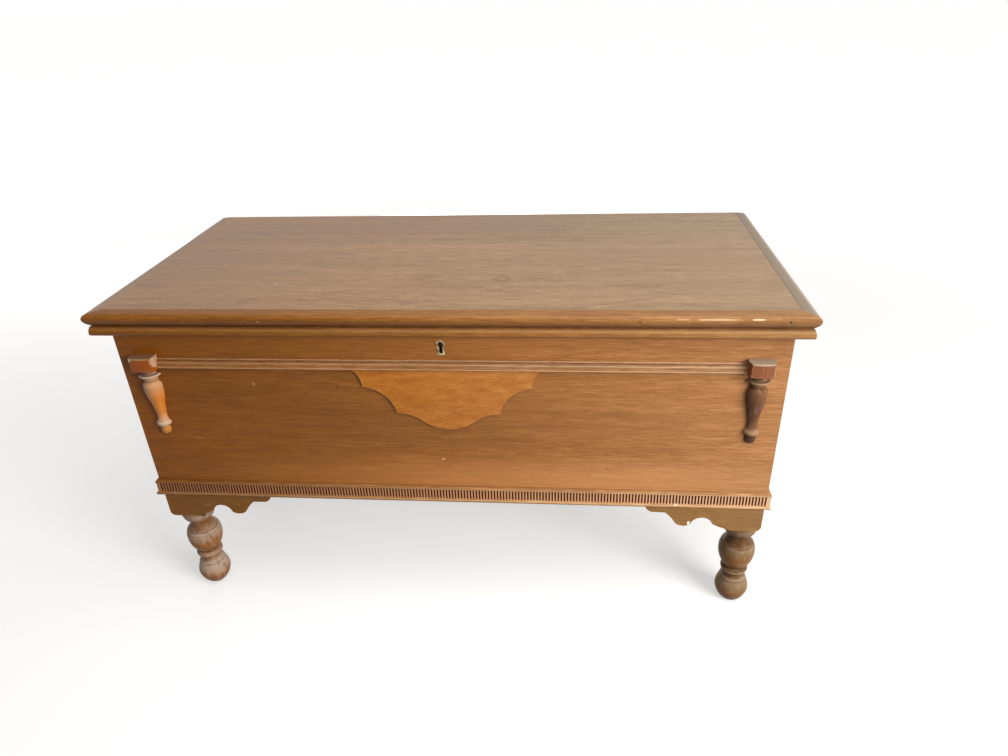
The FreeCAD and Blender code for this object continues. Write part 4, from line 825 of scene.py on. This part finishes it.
def lay_floor():
    """Plain pale floor with the chest's shadow. It looks white, and throws less light on the chest."""
    half = 60.0
    mesh = bpy.data.meshes.new("floor")
    mesh.from_pydata([(-half, -half, 0), (half, -half, 0), (half, half, 0), (-half, half, 0)], [],
                     [(0, 1, 2, 3)])
    floor = bpy.data.objects.new("floor", mesh)
    bpy.context.collection.objects.link(floor)
    material, tree = new_material("floor_paint_matt")
    seen = seen_directly(tree)
    colour = node(tree, "Mix", {0: seen, 6: linear("#5c564e"), 7: linear("#d2d0cc")}, data_type="RGBA")
    matt = node(tree, "BsdfDiffuse", {"Color": colour})
    # The floor runs into a white backdrop between 0.8 and 3.6 m from the chest
    place = node(tree, "TexCoord").outputs["Object"]
    away = node(tree, "VectorMath", {0: place}, operation="LENGTH")
    white = node(tree, "MapRange", {"Value": away.outputs["Value"], "From Min": 0.8, "From Max": 3.6,
                                    "To Min": 0.50, "To Max": 0.90}, interpolation_type="SMOOTHSTEP")
    shown = node(tree, "Math", {0: seen, 1: white}, operation="MULTIPLY")
    glow = node(tree, "Emission", {"Color": linear("#ffffff"), "Strength": shown})
    shader = node(tree, "AddShader", {0: matt, 1: glow})
    node(tree, "OutputMaterial", {"Surface": shader})
    mesh.materials.append(material)


def light_the_room():
    """Even, weak light from all round, which softens the lamps' shadows. The camera, mirrors and glass see
    white instead."""
    world = bpy.data.worlds.new("studio")
    bpy.context.scene.world = world
    world.use_nodes = True
    tree = world.node_tree
    tree.nodes.clear()
    strength = node(tree, "MapRange", {"Value": seen_directly(tree), "To Min": 0.16, "To Max": 1.0})
    sky = node(tree, "Background", {"Color": linear("#ffffff"), "Strength": strength})
    node(tree, "OutputWorld", {"Surface": sky})


def soft_lamp(name, place, target, width, height, watts, mirrored=True):
    """Large area lamp aimed at a point; mirrored says whether glossy surfaces reflect it."""
    lamp = bpy.data.lights.new(name, "AREA")
    lamp.shape = "RECTANGLE"
    lamp.size = width
    lamp.size_y = height
    lamp.energy = watts
    holder = bpy.data.objects.new(name, lamp)
    bpy.context.collection.objects.link(holder)
    holder.visible_glossy = mirrored
    holder.location = place
    holder.rotation_euler = (Vector(target) - Vector(place)).to_track_quat("-Z", "Y").to_euler()


def add_camera():
    """Camera held by a standing adult, turned a little left and tilted down at the chest."""
    viewpoint = (0.2070, -1.29615, 1.1051)
    yaw = math.radians(-5.73)
    pitch = math.radians(28.82)
    roll = math.radians(-2.18)
    ahead = Vector((math.sin(yaw) * math.cos(pitch), math.cos(yaw) * math.cos(pitch), -math.sin(pitch)))
    level = Vector((math.cos(yaw), -math.sin(yaw), 0))
    above = level.cross(ahead)
    right = level * math.cos(roll) + above * math.sin(roll)
    up = above * math.cos(roll) - level * math.sin(roll)
    camera = bpy.data.cameras.new("camera")
    camera.sensor_width = 36.0
    camera.lens = 25.864
    holder = bpy.data.objects.new("camera", camera)
    bpy.context.collection.objects.link(holder)
    turn = Matrix((right, up, -ahead)).transposed()
    holder.matrix_world = Matrix.Translation(viewpoint) @ turn.to_4x4()
    bpy.context.scene.camera = holder


lay_floor()
light_the_room()
# The window lamp stands so low that from behind it would be mirrored in the lid as a white glare
soft_lamp("window", (1.75, -1.50, 1.1), (0.1, -0.25, 0.42), 1.1, 1.1, 55.0, mirrored=False)
soft_lamp("ceiling", (0.4, -0.7, 2.5), (0.2, 0.0, 0.6), 1.6, 1.6, 33.0)
# The rear lamp stands no higher than the lid, so that it lights the back alone
soft_lamp("rear", (-0.9, 2.5, 0.38), (0.0, 0.2, 0.38), 1.8, 0.5, 30.0)
add_camera()
bpy.context.scene.view_settings.view_transform = "Standard"
